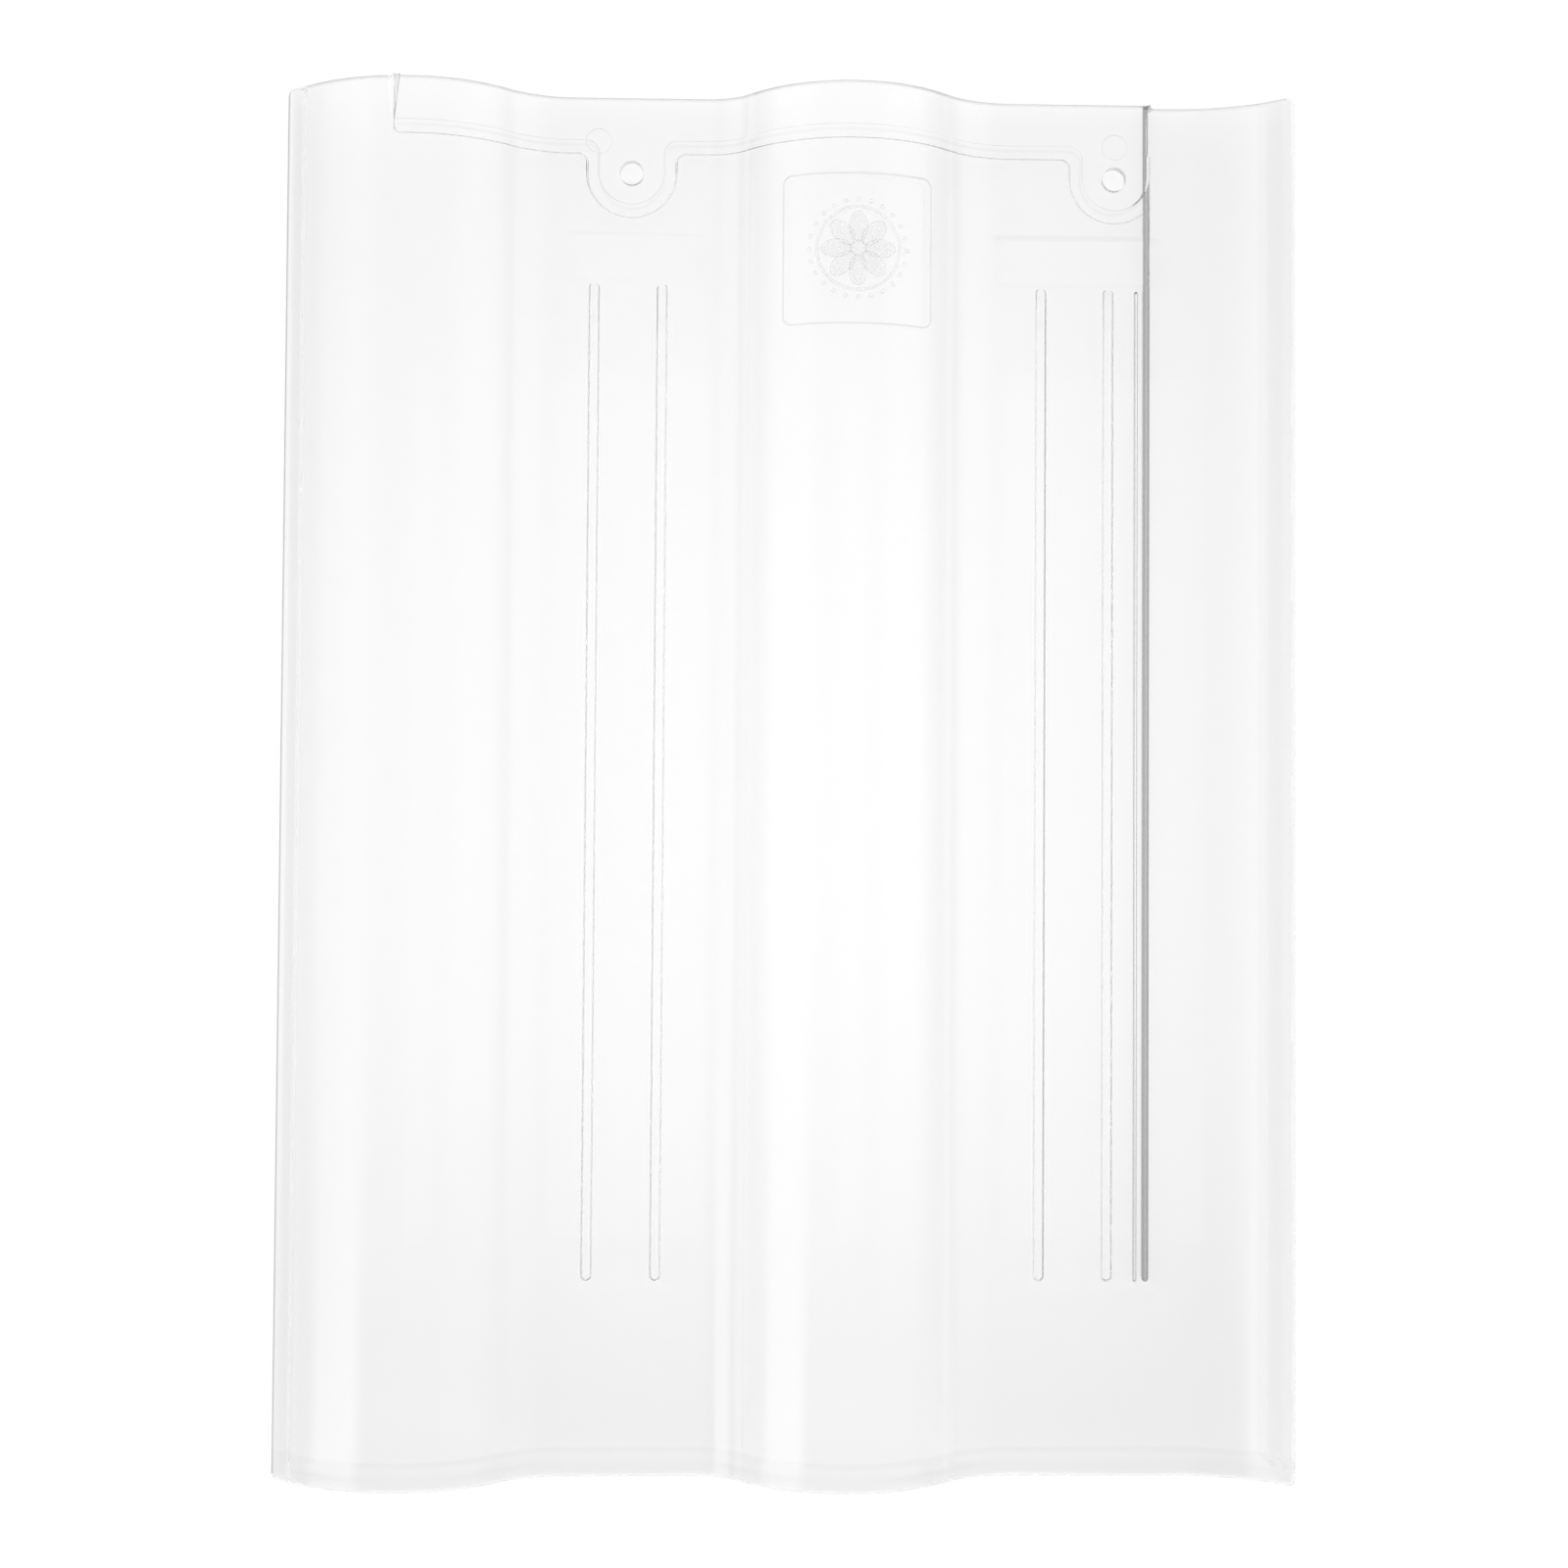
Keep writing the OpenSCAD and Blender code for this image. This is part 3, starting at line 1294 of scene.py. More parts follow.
    def store_fields(self, mesh: bpy.types.Mesh, points: Points, offset: int) -> None:
        """Writes each corner's depth, slope, side, outward direction, finish and painted shade into the mesh.

        Args:
            mesh: The flat shell.
            points: Its corners in plan.
            offset: Number of corners that belong to the weather side.
        """
        nudge, at_edge, rim_rise, rim_fall = 0.004, 0.01, 1.4, 4
        shifts = np.array([nudge, 0.0]), np.array([0.0, nudge])
        parts = ((Side.WEATHER, slice(0, offset)), (Side.UNDER, slice(offset, None)))

        def both(measure: Callable[[Side, Points], np.ndarray], at: Points) -> np.ndarray:
            """A measure of all corners, each taken on its own side."""
            return np.concatenate([measure(side, at[part]) for side, part in parts])

        slope = np.zeros((len(points), 3))
        outward = np.zeros((len(points), 3))
        for axis, shift in enumerate(shifts):
            deeper = both(self.depth, points + shift) - both(self.depth, points - shift)
            slope[:, axis] = deeper / (2 * nudge)
            outward[:, axis] = self.edge_distance(points - shift) - self.edge_distance(points + shift)
        outward /= np.maximum(np.linalg.norm(outward, axis=1), TINY)[:, None]
        in_edge = np.max([share for _, share in self.edge_shares(points)], axis=0)
        under = np.arange(len(points)) >= offset
        # painted shade: round edges darkened by the way that they face, on top of the slopes' and strips'
        # painted shade
        rim = smooth(in_edge * rim_rise) * smooth((1 - in_edge) * rim_fall) * ~under
        shade = np.maximum(both(self.darkness, points), rim * self.edge_darkness(points, outward))
        outward[self.edge_distance(points) > at_edge] = 0
        for name, kind, data in (
            ("depth", "FLOAT", both(self.depth, points)),
            ("under", "FLOAT", under.astype(float)),
            ("satin", "FLOAT", smooth(in_edge)),
            ("shade", "FLOAT", shade),
            ("open", "FLOAT", both(self.openness, points)),
            ("rib", "FLOAT", both(self.ribbing, points)),
            ("slope", "FLOAT_VECTOR", slope),
            ("outward", "FLOAT_VECTOR", outward),
        ):
            attribute = mesh.attributes.new(name, kind, "POINT")
            key = "value" if kind == "FLOAT" else "vector"
            attribute.data.foreach_set(key, data.astype(np.float32).ravel())


# ---------------------------------------------------------------- Geometry Nodes


class Modifier:
    """A Geometry Nodes tree with named inputs, put to work on one object."""

    def __init__(self, name: str, sizes: dict[str, float]) -> None:
        """Makes the tree and its inputs.

        Args:
            name: The tree's name.
            sizes: Named inputs and their values.
        """
        self.tree = bpy.data.node_groups.new(name, "GeometryNodeTree")
        self.graph = Graph(self.tree)
        self.sizes = sizes
        face = self.tree.interface
        face.new_socket("Geometry", in_out="INPUT", socket_type="NodeSocketGeometry")
        for key in sizes:
            face.new_socket(key, in_out="INPUT", socket_type="NodeSocketFloat")
        face.new_socket("Geometry", in_out="OUTPUT", socket_type="NodeSocketGeometry")
        self.entry = self.tree.nodes.new("NodeGroupInput")

    def given(self, name: str) -> Value:
        """A named input of the tree."""
        return Value(self.graph, self.entry.outputs[name])

    def finish(self, geometry: Value, materials: dict[str, bpy.types.Material]) -> None:
        """Realizes instances, sets the materials and ends the tree.

        Args:
            geometry: What has been made.
            materials: Each material by the attribute that chooses its faces, or by no name for
                the one that all faces take first.
        """
        dressed = self.graph.node("GeometryNodeRealizeInstances", {}, {0: geometry})
        for name, material in materials.items():
            values = {"Geometry": dressed, "Material": material}
            if name:
                values["Selection"] = 1 - self.graph.stored(name).below(0.5)
            dressed = self.graph.node("GeometryNodeSetMaterial", {}, values)
        self.graph.end("NodeGroupOutput", dressed)

    def apply(self, piece: bpy.types.Object) -> bpy.types.Object:
        """Runs the tree on an object and replaces the object's mesh with the result.

        Args:
            piece: The object.

        Returns:
            The same object.
        """
        modifier = piece.modifiers.new(self.tree.name, "NODES")
        modifier.node_group = self.tree
        for item in self.tree.interface.items_tree:
            if item.in_out == "INPUT" and item.name in self.sizes:
                modifier[item.identifier] = self.sizes[item.name]
        depsgraph = bpy.context.evaluated_depsgraph_get()
        mesh = bpy.data.meshes.new_from_object(piece.evaluated_get(depsgraph), depsgraph=depsgraph)
        piece.modifiers.remove(modifier)
        piece.data = mesh
        return piece


class LevelGroup:
    """Node group that gives the height of the sheet at a depth under its weather side."""

    def __init__(self, wave: Wave) -> None:
        """Builds the group.

        Args:
            wave: Sizes whose names the group's inputs take.
        """
        self.wave = wave
        self.tree = bpy.data.node_groups.new("sheet level", "GeometryNodeTree")
        graph = Graph(self.tree)
        for key in ("x", "depth", "under", *asdict(wave)):
            self.tree.interface.new_socket(key, in_out="INPUT", socket_type="NodeSocketFloat")
        self.tree.interface.new_socket("level", in_out="OUTPUT", socket_type="NodeSocketFloat")
        entry = self.tree.nodes.new("NodeGroupInput")
        get = {item.name: Value(graph, item) for item in entry.outputs if item.name}
        graph.end("NodeGroupOutput", self.level(get))

    def level(self, get: dict[str, Value]) -> Value:
        """Expression for the sheet's height.

        Args:
            get: The inputs by name.

        Returns:
            The height over the pans, in millimetres.
        """
        x, depth = get["x"], get["depth"]
        total = -depth
        for side in ("side", "middle"):
            crown = get[f"{side}_x"]
            height = get[f"{side}_h"]
            ends = ("outer", "inner") if side == "side" else ("left", "right")
            for sign, end in zip((-1, 1), ends):
                width = get[f"{side}_{end}_w"]
                crown_r = get[f"side_{end}_r"] if side == "side" else get["middle_r"]
                away = (x - crown) * sign
                here = (x - crown).below(0) if sign < 0 else 1 - (x - crown).below(0)
                total = total + here * self.flank(away, depth, width, height, crown_r)
        past = x - get["rise_x"]
        radius = get["rise_r"] + depth
        rise = get["rise_r"] - (radius * radius - past * past).sqrt() + depth
        total = total + (1 - past.below(0)) * rise
        foot = get["under"] * (1 - x.ramp(self.wave.foot_w - self.wave.foot_blend, self.wave.foot_w))
        return total * (1 - foot)

    @staticmethod
    def flank(away: Value, depth: Value, width: Value, height: Value, crown_r: Value) -> Value:
        """Height of one flank over a pan's surface at the same depth.

        Args:
            away: Distance from the crown, positive on the flank's side.
            depth: Depth under the weather side.
            width: Width of the flank.
            height: Height of the roll.
            crown_r: Radius of the crown.

        Returns:
            The height, and 0 past the flank's foot.
        """
        slope = (height / width).atan() * 2
        foot_r = width / slope.sin() - crown_r
        crown, foot, left = crown_r - depth, foot_r + depth, width - away
        on_crown = height - crown_r + (crown * crown - away * away).sqrt()
        on_foot = foot_r - (foot * foot - left * left).sqrt()
        upper = away.below(crown * slope.sin())
        return away.below(width) * (upper * on_crown + (1 - upper) * on_foot + depth)

    def call(self, modifier: Modifier, x: Value, depth: Value, under: Value | Number) -> Value:
        """Uses the group inside a modifier's tree.

        Args:
            modifier: The tree's modifier.
            x: Place across the tile.
            depth: Depth under the weather side.
            under: 1 on the underside and 0 on the weather side.

        Returns:
            The height over the pans.
        """
        values = {"x": x, "depth": depth, "under": under}
        values |= {key: modifier.given(key) for key in asdict(self.wave)}
        return modifier.graph.node("GeometryNodeGroup", {"node_tree": self.tree}, values)


@dataclass
class SheetLift:
    """Raises the flat shell of the moulding over its rolls.

    Attributes:
        sizes: The moulding's sizes.
        group: The node group that gives the sheet's height.
    """

    sizes: TileSizes
    group: LevelGroup

    def apply(self, piece: bpy.types.Object, materials: dict[str, bpy.types.Material]) -> bpy.types.Object:
        """Lifts the piece and gives its corners their true normals.

        Args:
            piece: The flat shell.
            materials: Its finishes, each by the attribute that chooses its faces.

        Returns:
            The same piece.
        """
        own = {"half_width": self.sizes.width / 2, "stand": self.sizes.stand}
        modifier = Modifier("lift sheet", asdict(self.sizes.wave) | own)
        graph = modifier.graph
        px, py, _ = graph.split(graph.node("GeometryNodeInputPosition", {}, {}))
        x = px / MM + modifier.given("half_width")
        depth, under = graph.stored("depth"), graph.stored("under")
        slope_x, slope_y, _ = graph.split(graph.stored("slope", "FLOAT_VECTOR"))
        outward = graph.stored("outward", "FLOAT_VECTOR")
        nudge = 0.02

        def level(dx: float, dy: float) -> Value:
            """Height a little way off the corner."""
            return self.group.call(modifier, x + dx, depth + slope_x * dx + slope_y * dy, under)

        height = level(0.0, 0.0)
        tilt_x = (level(nudge, 0.0) - level(-nudge, 0.0)) / (2 * nudge)
        tilt_y = (level(0.0, nudge) - level(0.0, -nudge)) / (2 * nudge)
        facing = 1 - under * 2
        upright = graph.join(-tilt_x * facing, -tilt_y * facing, facing)
        blend = graph.mix("VECTOR", graph.length(outward), upright, outward)
        normal = graph.node("ShaderNodeVectorMath", {"operation": "NORMALIZE"}, {0: blend})
        lifted = graph.join(px, py, (height + modifier.given("stand")) * MM)
        stored = graph.node(
            "GeometryNodeStoreNamedAttribute",
            {"data_type": "FLOAT_VECTOR", "domain": "POINT"},
            {"Geometry": modifier.given("Geometry"), "Name": "facing", "Value": normal},
        )
        moved = graph.node("GeometryNodeSetPosition", {}, {"Geometry": stored, "Position": lifted})
        modifier.finish(moved, materials)
        modifier.apply(piece)
        self.set_normals(piece.data)
        return piece

    @staticmethod
    def set_normals(mesh: bpy.types.Mesh) -> None:
        """Turns the stored directions into the mesh's own normals.

        Args:
            mesh: The lifted mesh, which loses its other attributes.
        """
        normals = np.empty(len(mesh.vertices) * 3, np.float32)
        mesh.attributes["facing"].data.foreach_get("vector", normals)
        for name in ("facing", "depth", "under", "slope", "outward", "open", "rib"):
            mesh.attributes.remove(mesh.attributes[name])
        mesh.shade_smooth()
        mesh.normals_split_custom_set_from_vertices(normals.reshape(-1, 3).tolist())


# ---------------------------------------------------------------- finishes


@dataclass(frozen=True)
class Hairlines:
    """Long thin scratches that run one way.

    Attributes:
        angle: Their direction from the tile's length, in degrees.
        spacing: Usual distance between them, in millimetres.
        width: Their share of that distance.
        length: Their length in such distances.
    """

    angle: float
    spacing: float
    width: float
    length: float = 14.0

    def mask(self, graph: Graph, place: Value) -> Value:
        """1 on a scratch and 0 off it.

        Args:
            graph: The material's graph.
            place: Object coordinates.

        Returns:
            The mask.
        """
        across = self.spacing * MM
        turned = graph.node(
            "ShaderNodeMapping",
            {"vector_type": "TEXTURE"},
            {
                "Vector": place,
                "Rotation": (0.0, 0.0, math.radians(self.angle)),
                "Scale": (across, across * self.length, across),
            },
        )
        return 1 - graph.size(graph.noise(turned, 1.0) - 0.5).ramp(0.0, self.width)


@dataclass(frozen=True)
class ClearPlastic:
    """Clear moulded plastic with faint flow marks, hairline scratches, dust and painted shade.

    Attributes:
        name: The finish's name.
        tint: Colour that light takes on its way through.
        dark: Colour of the painted shade that the shade attribute mixes into the tint on slopes, edges, the
            fin and strips.
        ior: Index of refraction.
        polish: Roughness of the clean surface.
        satin: Roughness that the trimmed edges add.
        wear: Roughness that scratches and dust add.
        ripple: Height of the slow unevenness of the moulded face, in millimetres.
        grain: Height of its fine unevenness, in millimetres.
        slow_scale: Spots of the slow unevenness per metre.
        fine_scale: Spots of the fine unevenness per metre.
        patch_scale: Scratched patches per metre.
        patch_limits: Noise from which a patch starts, and at which it is full.
        dust_scale: Grains of dust per metre.
        dust_limits: Noise from which a grain starts, and at which it is full.
        scratches: The two directions of scratches.
        openness: Share of the light that passes straight on.
    """

    name: str = "clear plastic"
    tint: tuple[float, float, float] = (0.993, 0.994, 0.994)
    dark: tuple[float, float, float] = (0.06, 0.062, 0.062)
    ior: float = 1.5
    polish: float = 0.003
    satin: float = 0.75
    wear: float = 0.15
    ripple: float = 0.02
    grain: float = 0.001
    slow_scale: float = 18.0
    fine_scale: float = 140.0
    patch_scale: float = 22.0
    patch_limits: Range = (0.5, 0.62)
    dust_scale: float = 900.0
    dust_limits: Range = (0.76, 0.8)
    scratches: tuple[Hairlines, Hairlines] = (Hairlines(8.0, 3.0, 0.012), Hairlines(-64.0, 5.0, 0.008))
    openness: float = 0.0

    def material(self) -> bpy.types.Material:
        """Builds the finish.

        Returns:
            A new material.
        """
        made = bpy.data.materials.new(self.name)
        made.use_nodes = True
        graph = Graph(made.node_tree)
        place = graph.node("ShaderNodeTexCoord", {}, {}, "Object")
        first, second = (lines.mask(graph, place) for lines in self.scratches)
        scratched = (first + second) * graph.noise(place, self.patch_scale).ramp(*self.patch_limits)
        height = graph.noise(place, self.slow_scale) * self.ripple
        height = height + graph.noise(place, self.fine_scale) * self.grain
        bump = {"Height": height, "Strength": 1.0, "Distance": MM}
        normal = graph.node("ShaderNodeBump", {}, bump, "Normal")
        dust = graph.noise(place, self.dust_scale).ramp(*self.dust_limits)
        satin = graph.node("ShaderNodeAttribute", {"attribute_name": "satin"}, {}, "Fac")
        # the shade attribute paints shade into the colour, mixing the tint towards the shade colour
        shade = graph.node("ShaderNodeAttribute", {"attribute_name": "shade"}, {}, "Fac")
        body = graph.node(
            "ShaderNodeBsdfPrincipled",
            {},
            {
                "Base Color": graph.mix("RGBA", shade, (*self.tint, 1.0), (*self.dark, 1.0)),
                "Roughness": self.polish + (scratched + dust).clamp() * self.wear + satin * self.satin,
                "IOR": self.ior,
                "Alpha": 1 - self.openness,
                "Transmission Weight": 1.0,
                "Normal": normal,
            },
        )
        graph.end("ShaderNodeOutputMaterial", body)
        return made


@dataclass(frozen=True)
class FrostedPlastic:
    """The same plastic with an etched, satin face.

    Attributes:
        name: The finish's name.
        tint: Colour of the scattered light.
        density: Share of the light that is scattered.
        mottle: How much that share changes from spot to spot.
        rim: Share that is added where the face is steep, as painted shade on the steep sides.
        steep: Upright part of the normal at which a face is steepest, and at which it is level.
        satin: Roughness of the face.
        grain: Height of its grain, in millimetres.
        grain_scale: Spots of the grain per metre.
    """

    name: str = "frosted plastic"
    tint: tuple[float, float, float] = (0.8, 0.805, 0.805)
    density: float = 0.07
    mottle: float = 0.3
    rim: float = 0.14
    steep: Range = (0.1, 0.9)
    satin: float = 0.5
    grain: float = 0.05
    grain_scale: float = 1600.0

    def material(self) -> bpy.types.Material:
        """Builds the finish.

        Returns:
            A new material.
        """
        made = bpy.data.materials.new(self.name)
        made.use_nodes = True
        graph = Graph(made.node_tree)
        place = graph.node("ShaderNodeTexCoord", {}, {}, "Object")
        speckle = graph.noise(place, self.grain_scale, 2.0)
        normal = graph.node("ShaderNodeBump", {}, {"Height": speckle * self.grain, "Distance": MM}, "Normal")
        satin = graph.node(
            "ShaderNodeBsdfPrincipled",
            {},
            {"Base Color": (*self.tint, 1.0), "Roughness": self.satin, "Normal": normal},
        )
        clear = graph.node("ShaderNodeBsdfTransparent", {}, {})
        facing = graph.node("ShaderNodeNewGeometry", {}, {}, "Normal")
        # painted shade: steep faces take a larger share of the grey scatter
        steep = 1 - graph.split(facing)[2].ramp(*self.steep)
        share = (self.density + (speckle - 0.5) * self.mottle + steep * self.rim).clamp()
        mixed = graph.node("ShaderNodeMixShader", {}, {0: share, 1: clear, 2: satin})
        graph.end("ShaderNodeOutputMaterial", mixed)
        return made


# ---------------------------------------------------------------- the tile's pieces


@dataclass
class RoofTile:
    """The moulding as it is seen.

    Attributes:
        sizes: The moulding's sizes.
        finish: Its finish.
        group: The node group that gives the sheet's height.
        rib_openness: Share of the light that passes straight on through the wide ribs.
        thin_openness: The same for thin edges and walls that no light should be caught in.
    """

    sizes: TileSizes
    finish: ClearPlastic
    group: LevelGroup
    rib_openness: float = 0.35
    thin_openness: float = 0.75

    def build(self) -> bpy.types.Object:
        """Makes the closed shell and lifts it over its rolls.

        Returns:
            The moulding's piece.
        """
        piece = bpy.data.objects.new("moulded_tile", Moulding(self.sizes).flat_mesh("moulded_tile"))
        bpy.context.scene.collection.objects.link(piece)
        ribbed = replace(self.finish, name="ribbed clear plastic", openness=self.rib_openness)
        thin = replace(self.finish, name="thin clear plastic", openness=self.thin_openness)
        finishes = {"": self.finish, "rib": ribbed, "open": thin}
        materials = {name: finish.material() for name, finish in finishes.items()}
        return SheetLift(self.sizes, self.group).apply(piece, materials)

    def dress(self, piece: bpy.types.Object) -> None:
        """Puts the piece in the place of its solid.

        Args:
            piece: The moulding's piece.
        """
        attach(piece, BODY)
        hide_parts(NODE)


@dataclass
class Rosette:
    """Frosted ornament on the sunk panel: petals around a boss inside a ring of beads.

    Attributes:
        sizes: The moulding's sizes.
        finish: The ornament's finish.
        group: The node group that gives the sheet's height.
        petals: Number of petals.
        petal_l: Length of a petal, in millimetres as all sizes here.
        petal_w: Width of a petal.
        petal_reach: Distance of its middle from the centre.
        boss_d: Diameter of the boss.
        ring_r: Radius of the ring.
        ring_w: Width of the ring.
        beads: Number of beads.
        bead_r: Radius of the circle on which they lie.
        bead_d: Diameter of a bead.
        relief: Height of all forms.
    """

    sizes: TileSizes
    finish: FrostedPlastic
    group: LevelGroup
    petals: int = 8
    petal_l: float = 9.2
    petal_w: float = 5.6
    petal_reach: float = 6.4
    boss_d: float = 5.0
    ring_r: float = 12.2
    ring_w: float = 0.9
    beads: int = 24
    bead_r: float = 14.4
    bead_d: float = 1.5
    relief: float = 0.35

    def dome(self, modifier: Modifier, length: Value, width: Value, facets: int) -> Value:
        """A low rounded form.

        Args:
            modifier: The tree's modifier.
            length: Length of the form.
            width: Width of the form.
            facets: Faces around it.

        Returns:
            The form at the centre.
        """
        graph = modifier.graph
        values = {"Segments": facets, "Rings": 8, "Radius": 0.5 * MM}
        ball = graph.node("GeometryNodeMeshUVSphere", {}, values)
        scale = graph.join(length, width, modifier.given("relief") * 2)
        return graph.node("GeometryNodeTransform", {}, {"Geometry": ball, "Scale": scale})

    def around(self, modifier: Modifier, form: Value, count: int, radius: Value) -> Value:
        """The form repeated around the centre, turned outwards.

        Args:
            modifier: The tree's modifier.
            form: What is repeated.
            count: How often.
            radius: Distance from the centre.

        Returns:
            The instances.
        """
        graph = modifier.graph
        spots = graph.node("GeometryNodeMeshCircle", {}, {"Vertices": count, "Radius": radius * MM})
        turn = graph.join(0.0, 0.0, graph.node("GeometryNodeInputIndex", {}, {}) * (math.tau / count))
        values = {"Points": spots, "Instance": form, "Rotation": turn}
        return graph.node("GeometryNodeInstanceOnPoints", {}, values)

    def hoop(self, modifier: Modifier) -> Value:
        """The flat ring between petals and beads.

        Args:
            modifier: The tree's modifier.

        Returns:
            The ring at the centre.
        """
        graph, given = modifier.graph, modifier.given
        kind = "GeometryNodeCurvePrimitiveCircle"
        path = graph.node(kind, {}, {"Resolution": 96, "Radius": given("ring_r") * MM})
        wire = graph.node(kind, {}, {"Resolution": 10, "Radius": given("ring_w") * (MM / 2)})
        tube = graph.node("GeometryNodeCurveToMesh", {}, {"Curve": path, "Profile Curve": wire})
        squash = graph.join(1.0, 1.0, given("relief") * 2 / given("ring_w"))
        return graph.node("GeometryNodeTransform", {}, {"Geometry": tube, "Scale": squash})

    def build(self) -> bpy.types.Object:
        """Makes the ornament and bends it over the panel.

        Returns:
            The ornament's piece.
        """
        s = self.sizes
        own = {key: value for key, value in vars(self).items() if isinstance(value, float)}
        places = {
            "half_width": s.width / 2,
            "stand": s.stand,
            "panel_sink": s.panel_sink,
            "panel_x": s.panel_x,
            "centre_y": s.length / 2 - s.panel_y - s.panel_l / 2,
        }
        modifier = Modifier("rosette", own | places | asdict(s.wave))
        graph, given = modifier.graph, modifier.given
        petal = self.dome(modifier, given("petal_l"), given("petal_w"), 20)
        bead = self.dome(modifier, given("bead_d"), given("bead_d"), 12)
        forms = [
            self.dome(modifier, given("boss_d"), given("boss_d"), 32),
            self.hoop(modifier),
            self.around(modifier, petal, self.petals, given("petal_reach")),
            self.around(modifier, bead, self.beads, given("bead_r")),
        ]
        joined = graph.node("GeometryNodeJoinGeometry", {}, {"Geometry": forms})
        real = graph.node("GeometryNodeRealizeInstances", {}, {0: joined})
        px, py, pz = graph.split(graph.node("GeometryNodeInputPosition", {}, {}))
        x = px / MM + given("panel_x")
        base = self.group.call(modifier, x, given("panel_sink"), 0.0) + given("stand")
        bent = graph.join((x - given("half_width")) * MM, py + given("centre_y") * MM, pz + base * MM)
        placed = graph.node("GeometryNodeSetPosition", {}, {"Geometry": real, "Position": bent})
        modifier.finish(placed, {"": self.finish.material()})
        piece = bpy.data.objects.new("rosette", bpy.data.meshes.new("rosette"))
        bpy.context.scene.collection.objects.link(piece)
        modifier.apply(piece)
        piece.data.shade_smooth()
        return piece

    def dress(self, piece: bpy.types.Object) -> None:
        """Rides the ornament on the tile."""
        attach(piece, BODY)


# ---------------------------------------------------------------- the studio


@dataclass(frozen=True)
class Softbox:
    """A rectangular lamp that faces a point.

    Attributes:
        name: The lamp's name.
        place: Its centre in metres.
        target: The point that it faces, in metres.
        size: Its width and length in metres.
        radiance: Brightness that its face adds to the room's, where 1 looks white.
    """

    name: str
    place: tuple[float, float, float]
    target: tuple[float, float, float]
    size: tuple[float, float]
    radiance: float

    def build(self) -> bpy.types.Object:
        """Hangs the lamp.

        Returns:
            The lamp's object.
        """
        lamp = bpy.data.lights.new(self.name, "AREA")
        lamp.shape = "RECTANGLE"
        lamp.size, lamp.size_y = self.size
        lamp.energy = self.radiance * 4 * self.size[0] * self.size[1]
        made = bpy.data.objects.new(self.name, lamp)
        made.location = self.place
        made.rotation_euler = (Vector(self.place) - Vector(self.target)).to_track_quat("Z", "Y").to_euler()
        bpy.context.scene.collection.objects.link(made)
        return made


@dataclass(frozen=True)
class Floor:
    """A pale floor that looks white and still takes the tile's shadow.

    Attributes:
        radius: Its radius in metres.
        drop: Its distance under the tile, in metres.
        grey: Its own colour.
        backdrop: Brightness that the camera sees on top of the light that falls on it.
        glow_near: The same for reflections and through the plastic, near the tile.
        glow_far: The same far off.
        glow_range: Distances between which it falls off, in metres.
        glow_fall: What it loses more from the tile's middle outwards.
        glow_reach: Distance over which it loses that, in metres.
        slim: How much that distance counts across and along the tile.
    """

    radius: float = 5.0
    drop: float = 0.0004
    grey: float = 0.24
    backdrop: float = 0.8
    glow_near: float = 0.82
    glow_far: float = 0.48
    glow_range: Range = (0.45, 1.3)
    glow_fall: float = 0.1
    glow_reach: float = 0.25
    slim: tuple[float, float, float] = (1.0, 0.72, 0.0)

    def material(self) -> bpy.types.Material:
        """Builds the floor's finish.

        Returns:
            A new material.
        """
        made = bpy.data.materials.new("floor")
        made.use_nodes = True
        made.cycles.emission_sampling = "NONE"
        graph = Graph(made.node_tree)
        direct, glossy, through = graph.rays("Is Camera Ray", "Is Glossy Ray", "Is Transmission Ray")
        place = graph.node("ShaderNodeTexCoord", {}, {}, "Object")
        fall = graph.length(place).ramp(*self.glow_range) * (self.glow_near - self.glow_far)
        slim = graph.node("ShaderNodeVectorMath", {"operation": "MULTIPLY"}, {0: place, 1: self.slim})
        glow = self.glow_near - fall - graph.length(slim).ramp(0.0, self.glow_reach) * self.glow_fall
        glow = (glossy + through).clamp() * (1 - direct) * glow
        matt = graph.node("ShaderNodeBsdfDiffuse", {}, {"Color": (self.grey,) * 3 + (1.0,)})
        shine = graph.node("ShaderNodeEmission", {}, {"Strength": direct * self.backdrop + glow})
        graph.end("ShaderNodeOutputMaterial", graph.node("ShaderNodeAddShader", {}, {0: matt, 1: shine}))
        return made

    def build(self) -> bpy.types.Object:
        """Lays the floor.

        Returns:
            The floor's object.
        """
        mesh = bpy.data.meshes.new("floor")
        turns = np.linspace(0, math.tau, 97)[:-1]
        rim = [(self.radius * math.cos(a), self.radius * math.sin(a), -self.drop) for a in turns]
        mesh.from_pydata(rim, [], [list(range(len(rim)))])
        made = bpy.data.objects.new("floor", mesh)
        bpy.context.scene.collection.objects.link(made)
        mesh.materials.append(self.material())
        return made


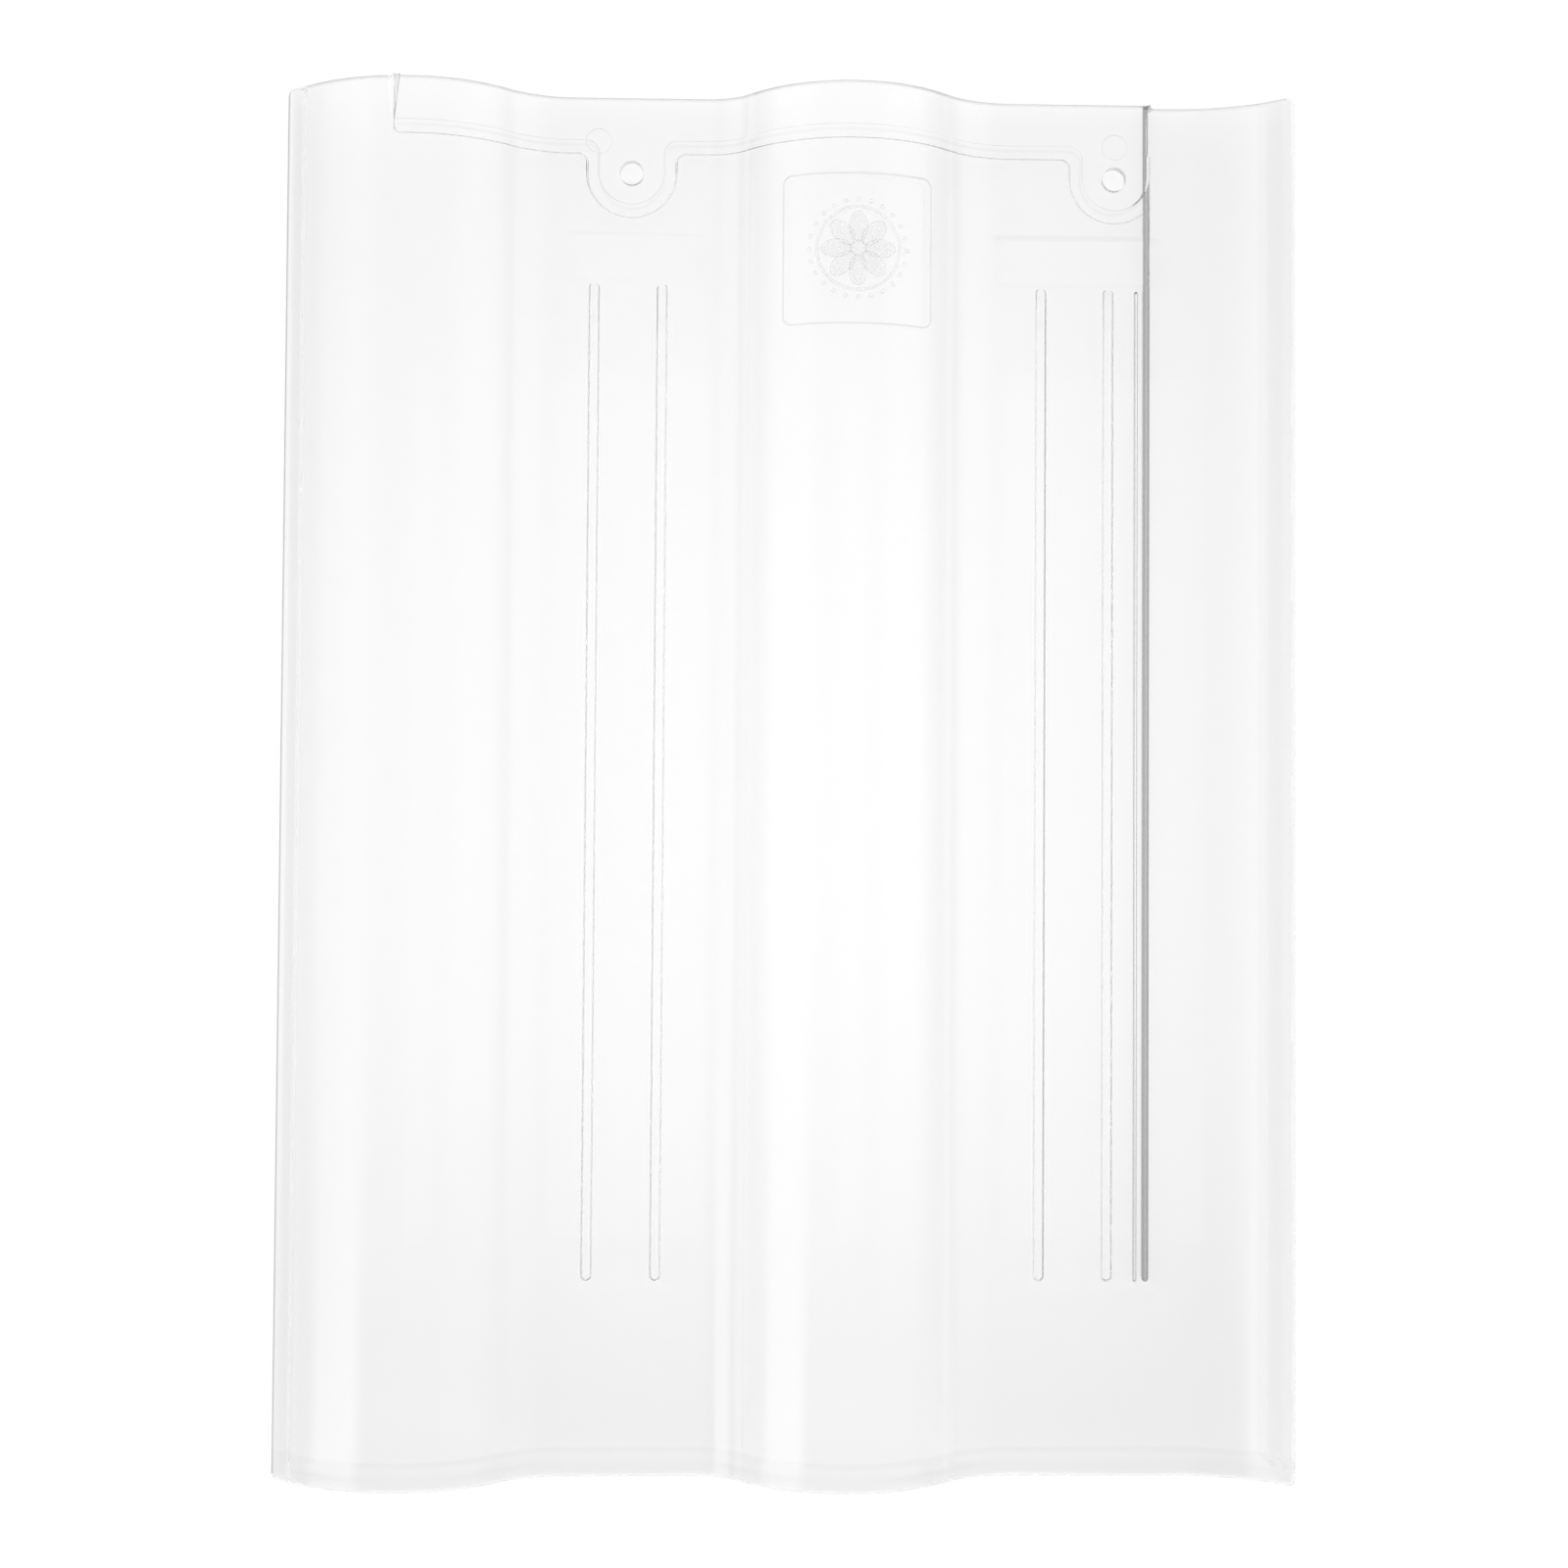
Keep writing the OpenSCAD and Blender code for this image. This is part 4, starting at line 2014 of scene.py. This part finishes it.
@dataclass(frozen=True)
class Room:
    """Walls and ceiling that light the tile.

    A range gives the two values of a direction's part between which something grows. Those parts
    run from -1 to 1: across to the right, along to the head and up.

    Attributes:
        horizon: Brightness at the floor's height.
        ceiling: Brightness overhead.
        rise: Range of height over which one grows into the other.
        sides: Range of the distance to either side over which the walls get brighter.
        sides_gain: Share by which they do.
        unlit_start: Range towards the tail over which the dark part of the room starts.
        unlit_end: The same over which it ends.
        unlit_height: Range of height over which it starts.
        unlit_dim: Share of the light that it lacks.
        window_left: Range across over which the window in it starts.
        window_right: The same over which the window ends.
        head: Range towards the head over which the room gets dimmer.
        head_dim: Share of the light that it loses there.
        level: Range of height below which rays through the plastic see white.
        level_white: Brightness of that white.
    """

    horizon: float = 0.4
    ceiling: float = 1.2
    rise: Range = (0.05, 0.5)
    sides: Range = (0.35, 0.65)
    sides_gain: float = 0.25
    unlit_start: Range = (0.02, 0.4)
    unlit_end: Range = (0.45, 0.65)
    unlit_height: Range = (0.05, 0.25)
    unlit_dim: float = 0.95
    window_left: Range = (-0.93, -0.85)
    window_right: Range = (-0.62, -0.46)
    head: Range = (0.08, 0.36)
    head_dim: float = 0.1
    level: Range = (0.2, 0.4)
    level_white: float = 0.8

    def build(self) -> None:
        """Lights the room, which the camera itself sees white."""
        world = bpy.data.worlds.new("room")
        world.use_nodes = True
        bpy.context.scene.world = world
        graph = Graph(world.node_tree)
        across, along, height = graph.split(graph.node("ShaderNodeTexCoord", {}, {}, "Generated"))
        window = (1 - across.ramp(*self.window_right)) * across.ramp(*self.window_left)
        unlit = (-along).ramp(*self.unlit_start) * (1 - (-along).ramp(*self.unlit_end))
        unlit = unlit * (1 - window) * height.ramp(*self.unlit_height)
        strength = self.horizon + height.ramp(*self.rise) * (self.ceiling - self.horizon)
        strength = strength * (1 + graph.size(across).ramp(*self.sides) * self.sides_gain)
        strength = strength * (1 - unlit * self.unlit_dim) * (1 - along.ramp(*self.head) * self.head_dim)
        direct, through = graph.rays("Is Camera Ray", "Is Transmission Ray")
        level = through * (1 - height.ramp(*self.level))
        strength = strength * (1 - (direct + level).clamp()) + direct + level * self.level_white
        values = {"Color": WHITE, "Strength": strength}
        graph.end("ShaderNodeOutputWorld", graph.node("ShaderNodeBackground", {}, values))


@dataclass
class Studio:
    """Pale floor, soft light and the camera.

    Attributes:
        floor: The floor.
        room: The room.
        lamps: The lamps.
        camera_place: The camera's place in metres.
        camera_turn: Its turn from looking straight down, as an axis whose length is the angle.
        lens: Its focal length in millimetres.
    """

    floor: Floor = field(default_factory=Floor)
    room: Room = field(default_factory=Room)
    lamps: tuple[Softbox, ...] = (
        Softbox("overhead softbox", (0.175, 0.03, 2.0), (0.175, 0.03, 0.0), (0.76, 1.03), 0.12),
    )
    camera_place: tuple[float, float, float] = (-0.01806, -0.01988, 0.66939)
    camera_turn: tuple[float, float, float] = (0.02856, -0.02652, 0.00648)
    lens: float = 50.94

    def camera(self) -> bpy.types.Object:
        """Places the camera over the tile.

        Returns:
            The camera's object.
        """
        lens = bpy.data.cameras.new("camera")
        lens.lens = self.lens
        lens.sensor_width = 36.0
        lens.clip_start = 0.01
        made = bpy.data.objects.new("camera", lens)
        axis = Vector(self.camera_turn)
        made.rotation_mode = "AXIS_ANGLE"
        made.rotation_axis_angle = (axis.length, *axis.normalized())
        made.location = self.camera_place
        bpy.context.scene.collection.objects.link(made)
        bpy.context.scene.camera = made
        return made

    def build(self) -> None:
        """Sets up the whole studio."""
        bpy.context.scene.view_settings.view_transform = "Standard"
        self.floor.build()
        self.room.build()
        for lamp in self.lamps:
            lamp.build()
        self.camera()


def main() -> None:
    """Builds the tile, its ornament and the studio, and logs each piece's faces."""
    logging.basicConfig(level=logging.INFO, format="%(name)s: %(message)s")
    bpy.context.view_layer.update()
    low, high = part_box(NODE)
    sizes = TileSizes(width=(high.x - low.x) / MM, length=(high.y - low.y) / MM)
    group = LevelGroup(sizes.wave)
    for part in (RoofTile(sizes, ClearPlastic(), group), Rosette(sizes, FrostedPlastic(), group)):
        piece = part.build()
        part.dress(piece)
        log.info("%s: %d faces", piece.name, len(piece.data.polygons))
    Studio().build()


if __name__ == "__main__":
    main()
